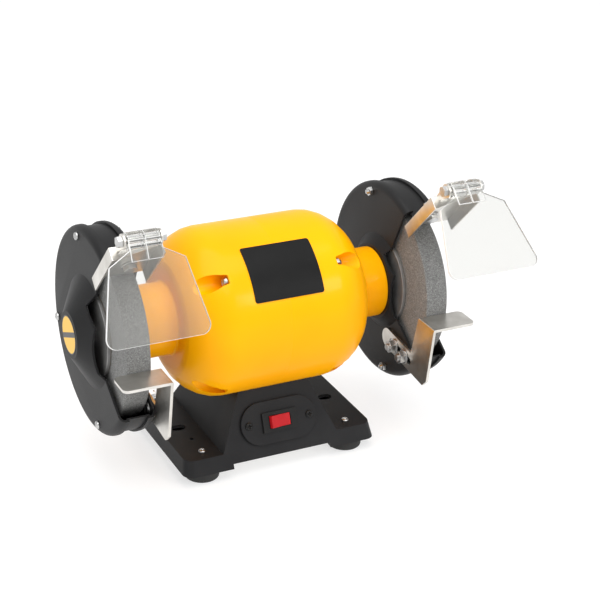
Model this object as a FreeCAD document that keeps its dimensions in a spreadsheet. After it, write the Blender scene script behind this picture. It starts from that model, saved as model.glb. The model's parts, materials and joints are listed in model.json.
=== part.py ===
import FreeCAD, Part
import os
import re
import Sketcher

# A two-wheel bench grinder as the separate pieces it comes apart into.
# Millimetres, +Z up, standing on its feet at Z = 0, with the shaft along X and the front towards -Y.

# Driving sizes, in millimetres and degrees
SIZES = {
    # Where the shaft lies
    "shaft_height": 131.3,
    "shaft_y": 32.4,
    # Shared clearances
    "running_fit": 0.05,
    "sliding_gap": 0.1,
    "seat_gap": 0.1,
    # Wheels and what clamps them
    "wheel_radius": 75,
    "wheel_width": 20,
    "blotter_sheet": 0.5,
    "blotter_margin": 1,
    "flange_radius": 40,
    "flange_thickness": 2.9,
    "flange_recess": 1.2,
    "flange_rim": 9,
    "hub_radius": 14,
    "hub_length": 4.4,
    "wheel_nut_flats": 19,
    "wheel_nut_height": 8,
    # Shaft, rotor and stator
    "shaft_radius": 9,
    "stub_radius": 6.35,
    "shaft_stub": 5,
    "shaft_tip": 2,
    "rotor_radius": 38,
    "core_half_length": 18,
    "air_gap": 0.5,
    "winding_length": 17,
    "winding_inset": 3.5,
    "winding_depth": 18,
    # Ball bearings
    "bearing_bore_radius": 7.5,
    "bearing_radius": 17.5,
    "bearing_width": 11,
    "bearing_inset": 4.5,
    "bearing_ring": 3,
    "ball_radius": 3,
    "ball_count": 8,
    # Motor casing
    "motor_radius": 73,
    "motor_wall": 4,
    "motor_straight": 43,
    "motor_half_length": 84,
    "shoulder_radius": 44.4,
    "neck_radius": 31,
    "neck_length": 29,
    "neck_relief": 2.5,
    "shaft_hole_radius": 10,
    "pocket_floor": 49,
    "pocket_radius": 7.5,
    "pocket_wall": 2.5,
    "case_bolt_circle": 66,
    "case_bolt_radius": 2.5,
    "case_bolt_head_radius": 4.5,
    "case_bolt_head": 4,
    "case_bolt_tail": 2,
    "notch_gap": 0.7,
    "rating_plate_width": 62.4,
    "rating_plate_low": 26,
    "rating_plate_high": 65,
    "rating_plate_sheet": 0.6,
    # Guards
    "guard_sheet": 2,
    "pan_dish": 6.9,
    "pan_flat_radius": 34,
    "dish_radius": 42.6,
    "lip_radius": 6,
    "lip_overlap": 2,
    "cover_clearance": 3.8,
    "cone_height": 16,
    "cone_top_radius": 20,
    "cone_margin": 8,
    "band_sheet": 1.5,
    "band_gap": 3,
    "band_top_angle": 58,
    "tab_length": 22,
    "label_radius": 16.5,
    "label_sheet": 0.3,
    "guard_bolt_gap": 2.4,
    "guard_bolt_radius": 2,
    "guard_bolt_head_radius": 3.5,
    "guard_bolt_head": 2.4,
    "guard_bolt_tail": 2,
    "guard_bolt_angle": 105,
    "guard_nut_flats": 7,
    "guard_nut_height": 3.2,
    "neck_screw_circle": 24.5,
    "neck_screw_radius": 2.5,
    "neck_screw_length": 14,
    "neck_screw_head_radius": 4.5,
    "neck_screw_head": 3,
    # Mouth of the guards, measured forwards and upwards from the shaft
    "mouth_top_angle": 64.2,
    "mouth_low_angle": 33,
    "mouth_margin": 30,
    "notch_forward": 16.5,
    "notch_up": 31.5,
    "shelf_forward": 33,
    "shelf_up": 18,
    "heel_forward": 34,
    "heel_down": 22,
    # Tool rests
    "rest_gap": 1.2,
    "rest_sheet": 2.4,
    "rest_drop": 3.8,
    "table_depth": 25.6,
    "table_width": 41.2,
    "table_corner": 5,
    "rest_slope": 7,
    "rest_slot_half_width": 3.4,
    "rest_slot_in": 5.6,
    "rest_slot_out": 7.6,
    "rest_tail_gap": 0.9,
    "rest_tail_radius": 9,
    "rest_toe_along": 50.8,
    "rest_arm_along": 26.4,
    "rest_toe": 6,
    "stud_radius": 3,
    "stud_inset": 6.6,
    "stud_angle": 40.5,
    "stud_spacing": 17.6,
    "stud_head_radius": 6,
    "stud_head": 2,
    "stud_tail": 2,
    "stud_nut_flats": 10,
    "stud_nut_height": 5,
    "washer_radius": 6.5,
    "washer_sheet": 1.2,
    # Shield brackets
    "bracket_centre": 140,
    "bracket_angle": 46.7,
    "bracket_inset": 5.2,
    "bracket_length": 56,
    "bracket_width": 43,
    "bracket_depth": 11.2,
    "bracket_sheet": 1.5,
    "bracket_lip": 4,
    "bracket_in": 2,
    "bracket_out": 6,
    "clamp_along": 18,
    "clamp_radius": 3,
    "clamp_flats": 10,
    "clamp_head": 4,
    "clamp_nut_height": 5,
    "clamp_tail": 2,
    "hinge_along": 71.4,
    "hinge_drop": 3.4,
    "hinge_radius": 2.5,
    "hinge_flats": 8,
    "hinge_head": 3.5,
    "hinge_nut_height": 4,
    "ear_radius": 6,
    "ear_width": 31,
    # Eye shields
    "shield_sheet": 3,
    "shield_length": 78.2,
    "shield_shoulder": 18,
    "shield_neck": 8,
    "shield_top_half": 30.4,
    "shield_low_half": 43.3,
    "shield_corner": 8,
    "knuckle_radius": 6.8,
    "knuckle_length": 12,
    "knuckle_gap": 1.2,
    "shield_tab_length": 16,
    "shield_tab_sheet": 1.2,
    "left_shield_slope": 64.6,
    "right_shield_slope": 45,
    # Base housing
    "flange_top": 22.8,
    "skirt_bottom": 9.8,
    "skirt_rise": 4,
    "skirt_gap_half": 46,
    "flange_half_width": 88,
    "flange_half_depth": 57.2,
    "flange_sheet": 3,
    "skirt_side_tilt": 10,
    "base_wall": 2.5,
    "pedestal_half_width": 54,
    "pedestal_height": 48.5,
    "panel_tilt": 22.6,
    "side_tilt": 24.9,
    "saddle_thickness": 8,
    "bottom_sheet": 1.5,
    "bottom_gap": 0.4,
    "slot_centre": 71.5,
    "slot_length": 13,
    "slot_half_width": 4.5,
    "drain_radius": 1.8,
    "drain_x": 68.2,
    "drain_forward": 21.9,
    # Feet
    "foot_x": 68.4,
    "foot_y": 44.8,
    "foot_radius": 15,
    "foot_top_radius": 13.2,
    "foot_collar": 4.5,
    "foot_chamfer": 1.5,
    "foot_recess_radius": 6,
    "foot_recess": 8,
    "foot_boss_radius": 7,
    "foot_screw_radius": 2.5,
    "foot_screw_head_radius": 3.2,
    "foot_screw_head": 1.8,
    "foot_nut_flats": 8,
    "foot_nut_height": 4,
    # Screws that hold the motor on the base
    "saddle_screw_x": 24,
    "saddle_screw_y": 14,
    "saddle_screw_radius": 2.5,
    "saddle_screw_bite": 3.4,
    "saddle_screw_head_radius": 4.5,
    "saddle_screw_head": 3.5,
    # Switch on the front panel
    "switch_height": 18,
    "switch_plate_length": 71,
    "switch_plate_half": 18.5,
    "switch_plate_sheet": 2.8,
    "switch_screw_x": 28.5,
    "switch_screw_radius": 1.75,
    "switch_screw_head_radius": 3.4,
    "switch_screw_head": 1.6,
    "switch_screw_length": 8,
    "bezel_length": 32,
    "bezel_width": 17.4,
    "bezel_sheet": 1.8,
    "switch_body_length": 27,
    "switch_body_width": 14.6,
    "switch_body_depth": 18,
    "well_depth": 9,
    "rocker_swing_radius": 9.75,
    "rocker_width": 10.4,
    "rocker_rise": 20,
    "rocker_throw": 20,
    "rocker_waist": 1,
    "rocker_depth": 5,
    "rocker_gap": 0.35,
    "rocker_pin_radius": 1.2,
    "rocker_pin_length": 1.4,
    # Capacitor in the base and the cable gland at the back
    "capacitor_radius": 15,
    "capacitor_length": 60,
    "capacitor_y": 8,
    "strap_sheet": 1.5,
    "strap_width": 14,
    "strap_foot": 11,
    "strap_screw_radius": 2,
    "strap_screw_head_radius": 3.5,
    "strap_screw_head": 2,
    "strap_screw_length": 3,
    "gland_height": 14,
    "gland_radius": 7,
    "gland_flange_radius": 10,
    "gland_flange": 3,
    "gland_nose": 6,
    "gland_tail": 7,
    "gland_bore_radius": 3.5,
}

# Places along the shaft, from the middle outwards
NECK_END = "(motor_half_length + neck_length)"
BEARING_OUT = f"({NECK_END} - bearing_inset)"
BEARING_IN = f"({BEARING_OUT} - bearing_width)"
END_WALL = "(motor_half_length - motor_wall)"
PAN_FACE = f"({NECK_END} + pan_dish)"
PAN_INSIDE = f"({PAN_FACE} + guard_sheet)"
SHAFT_SHOULDER = f"({NECK_END} + shaft_stub)"
FLANGE_BACK = f"({SHAFT_SHOULDER} + hub_length)"
FLANGE_FACE = f"({FLANGE_BACK} + flange_thickness)"
WHEEL_IN = f"({FLANGE_FACE} + blotter_sheet)"
WHEEL_OUT = f"({WHEEL_IN} + wheel_width)"
OUTER_FLANGE = f"({WHEEL_OUT} + blotter_sheet)"
NUT_FACE = f"({OUTER_FLANGE} + flange_thickness)"
SHAFT_END = f"({NUT_FACE} + wheel_nut_height + shaft_tip)"
COVER_INSIDE = f"({WHEEL_OUT} + cover_clearance)"
COVER_FACE = f"({COVER_INSIDE} + guard_sheet)"
CONE_TOP = f"({COVER_FACE} + cone_height)"

# Radii about the shaft
CASE_INSIDE = "(motor_radius - motor_wall)"
SHOULDER_AXIS = "(motor_radius - shoulder_radius)"
SHOULDER_LOW = f"({SHOULDER_AXIS} + sqrt(shoulder_radius^2 - (motor_half_length - motor_straight)^2))"
INNER_SHOULDER = "(shoulder_radius - motor_wall)"
INNER_LOW = f"({SHOULDER_AXIS} + sqrt({INNER_SHOULDER}^2 - ({END_WALL} - motor_straight)^2))"
NECK_BORE = "(bearing_radius + neck_relief)"
STATOR_BORE = "(rotor_radius + air_gap)"
BALL_CIRCLE = "((bearing_bore_radius + bearing_radius) / 2)"
GUARD_BOLT_CIRCLE = "(wheel_radius + guard_bolt_gap + guard_bolt_radius)"
BAND_IN = f"({GUARD_BOLT_CIRCLE} + guard_bolt_radius + band_gap)"
BAND_OUT = f"({BAND_IN} + band_sheet)"
LIP_IN = f"({BAND_OUT} + seat_gap)"
GUARD_RADIUS = f"({LIP_IN} + guard_sheet)"
GUARD_FLAT = f"({GUARD_RADIUS} - lip_radius)"

# Heights above the bench
PLATE_LOW = "(skirt_bottom + skirt_rise)"
PLATE_TOP = f"({PLATE_LOW} + bottom_sheet)"
ROOF = "(shaft_height - motor_radius - seat_gap - saddle_thickness)"

document = FreeCAD.newDocument("BenchGrinder")
sheet = document.addObject("Spreadsheet::Sheet", "Sizes")
for row, (alias, amount) in enumerate(SIZES.items(), start=1):
    sheet.set(f"A{row}", alias)
    sheet.set(f"B{row}", str(amount))
    sheet.setAlias(f"B{row}", alias)
document.recompute()

# Points closer than this count as the same place
SAME_PLACE = 0.001
SIZE_NAME = re.compile(r"\b(" + "|".join(SIZES) + r")\b")
subparts = []


def bound(text):
    """An expression in size names, written so that every object can read the sheet."""
    return SIZE_NAME.sub(r"Sizes.\1", text)


def number(text):
    """The value of an expression in size names."""
    return float(sheet.evalExpression(text))


def turn(axis, angle):
    """A rotation about an axis, as an expression."""
    return f"create(<<rotation>>; create(<<vector>>; {axis}); {bound(angle)})"


# Rotations that take a piece's own Z axis to the named direction
UPRIGHT = turn("0; 0; 1", "0")
ALONG_X = turn("0; 1; 0", "90")
AGAINST_X = turn("0; 1; 0", "-90")
DOWN = turn("1; 0; 0", "180")
# The bracket's own axes run outwards, to its open side and along the shaft
OUTWARDS = turn("1; 0; 0", "-bracket_angle") + " * " + turn("-1; 1; -1", "120")
# A clamp bolt's own axis points to the bracket's closed side
CLAMP_AXIS = turn("1; 0; 0", "-bracket_angle")
# The panels' own axes run along the shaft, up the slope and out of the panel
FRONT_PANEL = turn("1; 0; 0", "90 - panel_tilt")
BACK_PANEL = turn("1; 0; 0", "panel_tilt - 90")


def above_bench(piece, x="0", y="0", height="0", rotation=UPRIGHT):
    """Places a piece at a height above the bench, with y counted backwards from the shaft."""
    point = f"create(<<vector>>; {bound(x)}; {bound(f'shaft_y + ({y})')}; {bound(height)})"
    piece.setExpression("Placement", f"create(<<placement>>; {point}; {rotation})")
    return piece


def at_shaft(piece, x="0", forward="0", up="0", rotation=UPRIGHT):
    """Places a piece at a point counted along, forwards and upwards from the middle of the shaft."""
    return above_bench(piece, x, f"-({forward})", f"shaft_height + ({up})", rotation)


def named(label, piece):
    """Gives a finished piece its name and puts it on the list of sub-parts."""
    piece.Label = label
    subparts.append(piece)
    return piece


def cylinder(radius, length):
    piece = document.addObject("Part::Cylinder", "Cylinder")
    piece.setExpression("Radius", bound(radius))
    piece.setExpression("Height", bound(length))
    return piece


def box(length, width, height):
    piece = document.addObject("Part::Box", "Box")
    piece.setExpression("Length", bound(length))
    piece.setExpression("Width", bound(width))
    piece.setExpression("Height", bound(height))
    return piece


def wedge(low_x, low_y, high_x, high_y, bottom, top):
    """A block with four sloped sides between two heights, from the half sizes of its two ends."""
    piece = document.addObject("Part::Wedge", "Wedge")
    for name, half in (("X", low_x), ("Z", low_y), ("X2", high_x), ("Z2", high_y)):
        piece.setExpression(f"{name}min", bound(f"-({half})"))
        piece.setExpression(f"{name}max", bound(half))
    piece.Ymin = 0
    piece.setExpression("Ymax", bound(f"{top} - ({bottom})"))
    return above_bench(piece, height=bottom, rotation=turn("1; 0; 0", "90"))


def fused(*pieces):
    piece = document.addObject("Part::MultiFuse", "Fuse")
    piece.Shapes = list(pieces)
    return piece


def common(first, second):
    piece = document.addObject("Part::Common", "Common")
    piece.Base = first
    piece.Tool = second
    return piece


def cut(base, *tools):
    piece = document.addObject("Part::Cut", "Cut")
    piece.Base = base
    piece.Tool = tools[0] if len(tools) == 1 else fused(*tools)
    return piece


def group(*pieces):
    """Several separate solids in one sub-part."""
    piece = document.addObject("Part::Compound", "Group")
    piece.Links = list(pieces)
    return piece


def mirrored(source):
    """The same piece on the left of the machine."""
    piece = document.addObject("Part::Mirroring", "Mirror")
    piece.Source = source
    piece.Normal = FreeCAD.Vector(1, 0, 0)
    return piece


def new_body():
    return document.addObject("PartDesign::Body", "Body")


def arc_between(start, end, radius, side):
    """The short arc from start to end that bends to the named side."""
    chord = end - start
    across = FreeCAD.Vector(-chord.y, chord.x, 0).normalize()
    rise = max(radius ** 2 - (chord.Length / 2) ** 2, 0) ** 0.5
    centre = (start + end) / 2 + across * (rise if side == "left" else -rise)
    circle = Part.Circle(centre, FreeCAD.Vector(0, 0, 1), radius)
    first, last = (start, end) if side == "left" else (end, start)
    return Part.ArcOfCircle(circle, circle.parameter(first), circle.parameter(last))


def draw_loop(drawing, corners):
    """Draws a closed loop of corners (x, y), or (x, y, radius, side) where an arc leaves the corner."""
    points = [FreeCAD.Vector(number(corner[0]), number(corner[1]), 0) for corner in corners]
    starts, ends = [], []
    for index, corner in enumerate(corners):
        start, end = points[index], points[(index + 1) % len(points)]
        if len(corner) == 2:
            edge = drawing.addGeometry(Part.LineSegment(start, end), False)
        else:
            edge = drawing.addGeometry(arc_between(start, end, number(corner[2]), corner[3]), False)
            limit = drawing.addConstraint(Sketcher.Constraint("Radius", edge, number(corner[2])))
            drawing.setExpression(f"Constraints[{limit}]", bound(corner[2]))
        turns_right = corner[-1] == "right"
        starts.append((edge, 2 if turns_right else 1))
        ends.append((edge, 1 if turns_right else 2))
    for index, corner in enumerate(corners):
        drawing.addConstraint(Sketcher.Constraint("Coincident", *ends[index - 1], *starts[index]))
        pin_point(drawing, starts[index], corner[0], corner[1])


def draw_circle(drawing, x, y, radius):
    centre = FreeCAD.Vector(number(x), number(y), 0)
    circle = Part.Circle(centre, FreeCAD.Vector(0, 0, 1), number(radius))
    edge = drawing.addGeometry(circle, False)
    limit = drawing.addConstraint(Sketcher.Constraint("Radius", edge, number(radius)))
    drawing.setExpression(f"Constraints[{limit}]", bound(radius))
    pin_point(drawing, (edge, 3), x, y)


def pin_point(drawing, point, x, y):
    """Ties a sketch point to its two coordinates."""
    for kind, place in (("DistanceX", x), ("DistanceY", y)):
        limit = drawing.addConstraint(Sketcher.Constraint(kind, -1, 1, *point, number(place)))
        drawing.setExpression(f"Constraints[{limit}]", bound(place))


def sketch(body, role, *loops, offset="0"):
    """A sketch on one of the body's own planes, moved out along its normal by the offset."""
    drawing = body.newObject("Sketcher::SketchObject", "Sketch")
    plane = next(feature for feature in body.Origin.OriginFeatures if feature.Role == role)
    drawing.AttachmentSupport = [(plane, "")]
    drawing.MapMode = "FlatFace"
    drawing.setExpression("AttachmentOffset.Base.z", bound(offset))
    for loop in loops:
        if isinstance(loop, tuple):
            draw_circle(drawing, *loop)
        else:
            draw_loop(drawing, loop)
    return drawing


def pad(body, profile, length, side="One side", against=False):
    feature = body.newObject("PartDesign::Pad", "Pad")
    feature.Profile = profile
    feature.SideType = side
    feature.Reversed = against
    feature.setExpression("Length", bound(length))
    return feature


def pocket(body, profile, length=None):
    """Cuts a profile to both sides of its plane, right through or to the given length in all."""
    feature = body.newObject("PartDesign::Pocket", "Pocket")
    feature.Profile = profile
    feature.SideType = "Symmetric"
    if length is None:
        feature.Type = "ThroughAll"
    else:
        feature.setExpression("Length", bound(length))
    return feature


def revolved(body, role, corners, axis):
    profile = sketch(body, role, corners)
    feature = body.newObject("PartDesign::Revolution", "Revolution")
    feature.Profile = profile
    feature.ReferenceAxis = (profile, [axis])
    return body


def turned(*corners, side="right"):
    """A piece turned about the shaft, from corners given as place along the shaft and radius."""
    outline = list(corners)
    if side == "left":
        other = {"left": "right", "right": "left"}
        outline = [(f"-({along})", radius, *rest) for along, radius, *rest in corners]
        outline = [(*corner[:-1], other.get(corner[-1], corner[-1])) for corner in outline]
    return at_shaft(revolved(new_body(), "XZ_Plane", outline, "H_Axis"))


def tube(inside, outside, start, end):
    return turned((start, inside), (start, outside), (end, outside), (end, inside))


def round_corners(body, radius, axis, place):
    """Rounds the upright edges of the body whose middle has the given x or y."""
    document.recompute()
    base = body.Tip
    names = []
    for index, edge in enumerate(base.Shape.Edges, start=1):
        middle = edge.BoundBox.Center
        upright = max(edge.BoundBox.XLength, edge.BoundBox.YLength) < SAME_PLACE
        if upright and abs(getattr(middle, axis) - number(place)) < SAME_PLACE:
            names.append(f"Edge{index}")
    feature = body.newObject("PartDesign::Fillet", "Fillet")
    feature.Base = (base, names)
    feature.setExpression("Radius", bound(radius))


def hexagon(flats):
    """Corners of a hexagon with the given width across its flats."""
    reach = f"{flats} / (2 * cos(30))"
    return [(f"{reach} * cos({angle})", f"{reach} * sin({angle})") for angle in range(0, 360, 60)]


def slot(x0, y0, x1, y1, angle, half):
    """A round-ended slot between two centres along a line at the given angle."""
    along = (f"({half}) * cos({angle})", f"({half}) * sin({angle})")
    across = (f"-({half}) * sin({angle})", f"({half}) * cos({angle})")
    return [
        (f"{x0} - {across[0]}", f"{y0} - {across[1]}"),
        (f"{x1} - {across[0]}", f"{y1} - {across[1]}", half, "left"),
        (f"{x1} + {along[0]}", f"{y1} + {along[1]}", half, "left"),
        (f"{x1} + {across[0]}", f"{y1} + {across[1]}"),
        (f"{x0} + {across[0]}", f"{y0} + {across[1]}", half, "left"),
        (f"{x0} - {along[0]}", f"{y0} - {along[1]}", half, "left"),
    ]


def screw(radius, length, head_radius, head):
    """A round-headed screw whose head stands on its own Z = 0 plane."""
    corners = [
        ("0", f"-({length})"),
        (radius, f"-({length})"),
        (radius, "0"),
        (head_radius, "0"),
        (head_radius, f"{head} / 2"),
        (f"{head_radius} - {head} / 2", head),
        ("0", head),
    ]
    return revolved(new_body(), "XZ_Plane", corners, "V_Axis")


def hex_bolt(radius, length, flats, head):
    """A hexagon bolt whose head stands on its own Z = 0 plane."""
    body = new_body()
    pad(body, sketch(body, "XY_Plane", hexagon(flats)), head)
    pad(body, sketch(body, "XY_Plane", ("0", "0", radius)), length, against=True)
    return body


def hex_nut(radius, flats, height):
    body = new_body()
    pad(body, sketch(body, "XY_Plane", hexagon(flats), ("0", "0", radius)), height)
    return body


def washer(bore, radius, thickness):
    body = new_body()
    pad(body, sketch(body, "XY_Plane", ("0", "0", radius), ("0", "0", bore)), thickness)
    return body


def around(radius, angles):
    """Points on a circle about the shaft, as forwards and upwards, for angles from straight ahead."""
    return [(f"{radius} * cos({angle})", f"{radius} * sin({angle})") for angle in angles]


CASE_BOLTS = around("case_bolt_circle", (45, 135, 225, 315))
GUARD_BOLTS = around(GUARD_BOLT_CIRCLE, [f"(guard_bolt_angle + {step})" for step in (0, 90, 180)])
NECK_SCREWS = around("neck_screw_circle", (90, 210, 330))
FOUR_CORNERS = [(along, across) for along in ("", "-") for across in ("", "-")]


# Motor casing and what is inside it


# The saddle screws reach from the roof of the base into the wall of the casing
SADDLE_SCREW_LENGTH = (
    "(shaft_height - sqrt(motor_radius^2 - saddle_screw_y^2) + saddle_screw_bite - " + ROOF + ")"
)


def end_bell():
    """Half of the motor casing with its neck, bearing seat and the pockets for the through bolts."""
    wall = turned(
        ("0", CASE_INSIDE),
        ("0", "motor_radius"),
        ("motor_straight", "motor_radius", "shoulder_radius", "right"),
        ("motor_half_length", SHOULDER_LOW),
        ("motor_half_length", "neck_radius"),
        (NECK_END, "neck_radius"),
        (NECK_END, "shaft_hole_radius"),
        (BEARING_OUT, "shaft_hole_radius"),
        (BEARING_OUT, "bearing_radius"),
        (BEARING_IN, "bearing_radius"),
        (BEARING_IN, NECK_BORE),
        (END_WALL, NECK_BORE),
        (END_WALL, INNER_LOW, INNER_SHOULDER, "left"),
        ("motor_straight", CASE_INSIDE),
    )
    outside = turned(
        ("0", "0"),
        ("0", "motor_radius"),
        ("motor_straight", "motor_radius", "shoulder_radius", "right"),
        ("motor_half_length", SHOULDER_LOW),
        ("motor_half_length", "0"),
    )
    boss_start = "(pocket_floor - motor_wall)"
    bosses, openings = [], []
    for forward, up in CASE_BOLTS:
        boss = cylinder("pocket_radius + pocket_wall", f"motor_half_length - {boss_start}")
        bosses.append(at_shaft(boss, boss_start, forward, up, ALONG_X))
        room = cylinder("pocket_radius", "motor_half_length - pocket_floor")
        openings.append(at_shaft(room, "pocket_floor", forward, up, ALONG_X))
        hole = cylinder("case_bolt_radius", "motor_half_length")
        openings.append(at_shaft(hole, "0", forward, up, ALONG_X))
    for forward, up in NECK_SCREWS:
        hole = cylinder("neck_screw_radius", "neck_screw_length")
        openings.append(at_shaft(hole, f"{NECK_END} - neck_screw_length", forward, up, ALONG_X))
    for side in ("", "-"):
        hole = cylinder("saddle_screw_radius", SADDLE_SCREW_LENGTH)
        openings.append(above_bench(hole, "saddle_screw_x", f"{side}saddle_screw_y", ROOF))
    return cut(fused(wall, common(outside, fused(*bosses))), *openings)


def stator_core():
    core = tube(STATOR_BORE, f"{CASE_INSIDE} - seat_gap", "-core_half_length", "core_half_length")
    notches = []
    for forward, up in CASE_BOLTS:
        notch = cylinder("case_bolt_radius + notch_gap", "2 * core_half_length")
        notches.append(at_shaft(notch, "-core_half_length", forward, up, ALONG_X))
    return cut(core, *notches)


def winding():
    inside = f"({STATOR_BORE} + winding_inset)"
    end = "core_half_length + winding_length"
    return tube(inside, f"{inside} + winding_depth", "core_half_length", end)


def rotor_shaft():
    half = [
        (BEARING_IN, "shaft_radius"),
        (BEARING_IN, "bearing_bore_radius"),
        (SHAFT_SHOULDER, "bearing_bore_radius"),
        (SHAFT_SHOULDER, "stub_radius"),
        (SHAFT_END, "stub_radius"),
    ]
    other = [(f"-{along}", radius) for along, radius in reversed(half)]
    return turned(*other, *half, (SHAFT_END, "0"), (f"-{SHAFT_END}", "0"))


def bearing_ring(inside, outside):
    """One ring of the right-hand bearing, with the race that the balls run in."""
    race = document.addObject("Part::Torus", "Race")
    race.setExpression("Radius1", bound(BALL_CIRCLE))
    race.setExpression("Radius2", bound("ball_radius + running_fit"))
    at_shaft(race, f"({BEARING_IN} + {BEARING_OUT}) / 2", rotation=ALONG_X)
    return cut(tube(inside, outside, BEARING_IN, BEARING_OUT), race)


def bearing_balls():
    balls = []
    for step in range(int(number("ball_count"))):
        ball = document.addObject("Part::Sphere", "Ball")
        ball.setExpression("Radius", bound("ball_radius"))
        angle = f"(360 * {step} / ball_count)"
        forward, up = f"{BALL_CIRCLE} * cos({angle})", f"{BALL_CIRCLE} * sin({angle})"
        balls.append(at_shaft(ball, f"({BEARING_IN} + {BEARING_OUT}) / 2", forward, up))
    return group(*balls)


def rating_plate():
    """A bare plate that follows the casing at the front."""
    outer = cylinder("motor_radius + seat_gap + rating_plate_sheet", "rating_plate_width")
    outer.setExpression("Angle", bound("rating_plate_high - rating_plate_low"))
    start = ALONG_X + " * " + turn("0; 0; 1", "-90 - rating_plate_high")
    at_shaft(outer, "-rating_plate_width / 2", rotation=start)
    inner = cylinder("motor_radius + seat_gap", "rating_plate_width")
    at_shaft(inner, "-rating_plate_width / 2", rotation=ALONG_X)
    return cut(outer, inner)


def motor():
    right_bell = named("right_end_bell", end_bell())
    named("left_end_bell", mirrored(right_bell))
    bolts, nuts = [], []
    length = "2 * pocket_floor + case_bolt_head + case_bolt_tail"
    for forward, up in CASE_BOLTS:
        bolt = screw("case_bolt_radius", length, "case_bolt_head_radius", "case_bolt_head")
        bolts.append(at_shaft(bolt, "-pocket_floor", forward, up, AGAINST_X))
        nut = hex_nut("case_bolt_radius", "2 * case_bolt_head_radius * cos(30)", "case_bolt_head")
        nuts.append(at_shaft(nut, "pocket_floor", forward, up, ALONG_X))
    named("motor_through_bolts", group(*bolts))
    named("motor_through_nuts", group(*nuts))
    named("stator_core", stator_core())
    right_winding = winding()
    named("stator_windings", group(right_winding, mirrored(right_winding)))
    named("rotor_core", tube("shaft_radius", "rotor_radius", "-core_half_length", "core_half_length"))
    named("rotor_shaft", rotor_shaft())
    outer_ring = bearing_ring("bearing_radius - bearing_ring", "bearing_radius")
    named("bearing_outer_rings", group(outer_ring, mirrored(outer_ring)))
    inner_ring = bearing_ring("bearing_bore_radius", "bearing_bore_radius + bearing_ring")
    named("bearing_inner_rings", group(inner_ring, mirrored(inner_ring)))
    right_balls = bearing_balls()
    named("bearing_balls", group(right_balls, mirrored(right_balls)))
    named("rating_plate", rating_plate())


# Wheels and the flanges that clamp them


def clamping_flange(face, back, step):
    """A flange that bears on the wheel with its rim only. The step is +1 where it faces outwards."""
    hollow = f"{face} - ({step}) * flange_recess"
    rim = "flange_radius - flange_rim"
    return turned(
        (back, "stub_radius"),
        (back, "flange_radius"),
        (face, "flange_radius"),
        (face, rim),
        (hollow, rim),
        (hollow, "stub_radius"),
    )


def wheels():
    right_wheel = named("right_wheel", tube("stub_radius", "wheel_radius", WHEEL_IN, WHEEL_OUT))
    named("left_wheel", mirrored(right_wheel))
    disc = clamping_flange(FLANGE_FACE, FLANGE_BACK, "1")
    hub = tube("stub_radius", "hub_radius", SHAFT_SHOULDER, FLANGE_BACK)
    inner = fused(disc, hub)
    named("inner_flanges", group(inner, mirrored(inner)))
    outer = clamping_flange(OUTER_FLANGE, NUT_FACE, "-1")
    named("outer_flanges", group(outer, mirrored(outer)))
    blotters = []
    for start, end in ((FLANGE_FACE, WHEEL_IN), (WHEEL_OUT, OUTER_FLANGE)):
        blotter = tube("stub_radius", "flange_radius - blotter_margin", start, end)
        blotters += [blotter, mirrored(blotter)]
    named("wheel_blotters", group(*blotters))
    nut = hex_nut("stub_radius", "wheel_nut_flats", "wheel_nut_height")
    at_shaft(nut, NUT_FACE, rotation=ALONG_X)
    named("wheel_nuts", group(nut, mirrored(nut)))


# Guards


def open_mouth(body):
    """Cuts the mouth of the guard and the holes of its three through bolts."""
    reach = f"({GUARD_RADIUS} + mouth_margin)"
    top = (f"-{reach} * cos(mouth_top_angle)", f"{reach} * sin(mouth_top_angle)")
    low = (f"-{reach} * cos(mouth_low_angle)", f"-{reach} * sin(mouth_low_angle)")
    outline = [
        top,
        (f"-{reach} - mouth_margin", f"{reach} * sin(mouth_top_angle)"),
        (f"-{reach} - mouth_margin", f"-{reach} * sin(mouth_low_angle)"),
        low,
        ("-heel_forward", "-heel_down"),
        ("-shelf_forward", "shelf_up"),
        ("-notch_forward", "notch_up"),
    ]
    holes = [(f"-{forward}", up, "guard_bolt_radius") for forward, up in GUARD_BOLTS]
    pocket(body, sketch(body, "YZ_Plane", outline, *holes))


def guard_pan(side):
    """The guard's inner half: a dished disc with a rolled lip that laps over the band."""
    lip = f"({PAN_FACE} + lip_radius)"
    body = turned(
        (NECK_END, "shaft_hole_radius"),
        (NECK_END, "pan_flat_radius"),
        (PAN_FACE, "dish_radius"),
        (PAN_FACE, GUARD_FLAT, "lip_radius", "right"),
        (lip, GUARD_RADIUS),
        (f"{lip} + lip_overlap", GUARD_RADIUS),
        (f"{lip} + lip_overlap", LIP_IN),
        (lip, LIP_IN, "lip_radius - guard_sheet", "left"),
        (PAN_INSIDE, GUARD_FLAT),
        (PAN_INSIDE, "dish_radius"),
        (f"{NECK_END} + guard_sheet", "pan_flat_radius"),
        (f"{NECK_END} + guard_sheet", "shaft_hole_radius"),
        side=side,
    )
    open_mouth(body)
    screws = [(f"-{forward}", up, "neck_screw_radius") for forward, up in NECK_SCREWS]
    studs = [(f"-{forward}", up, "stud_radius") for forward, up in STUDS]
    pocket(body, sketch(body, "YZ_Plane", *screws, *studs))
    return body


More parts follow.
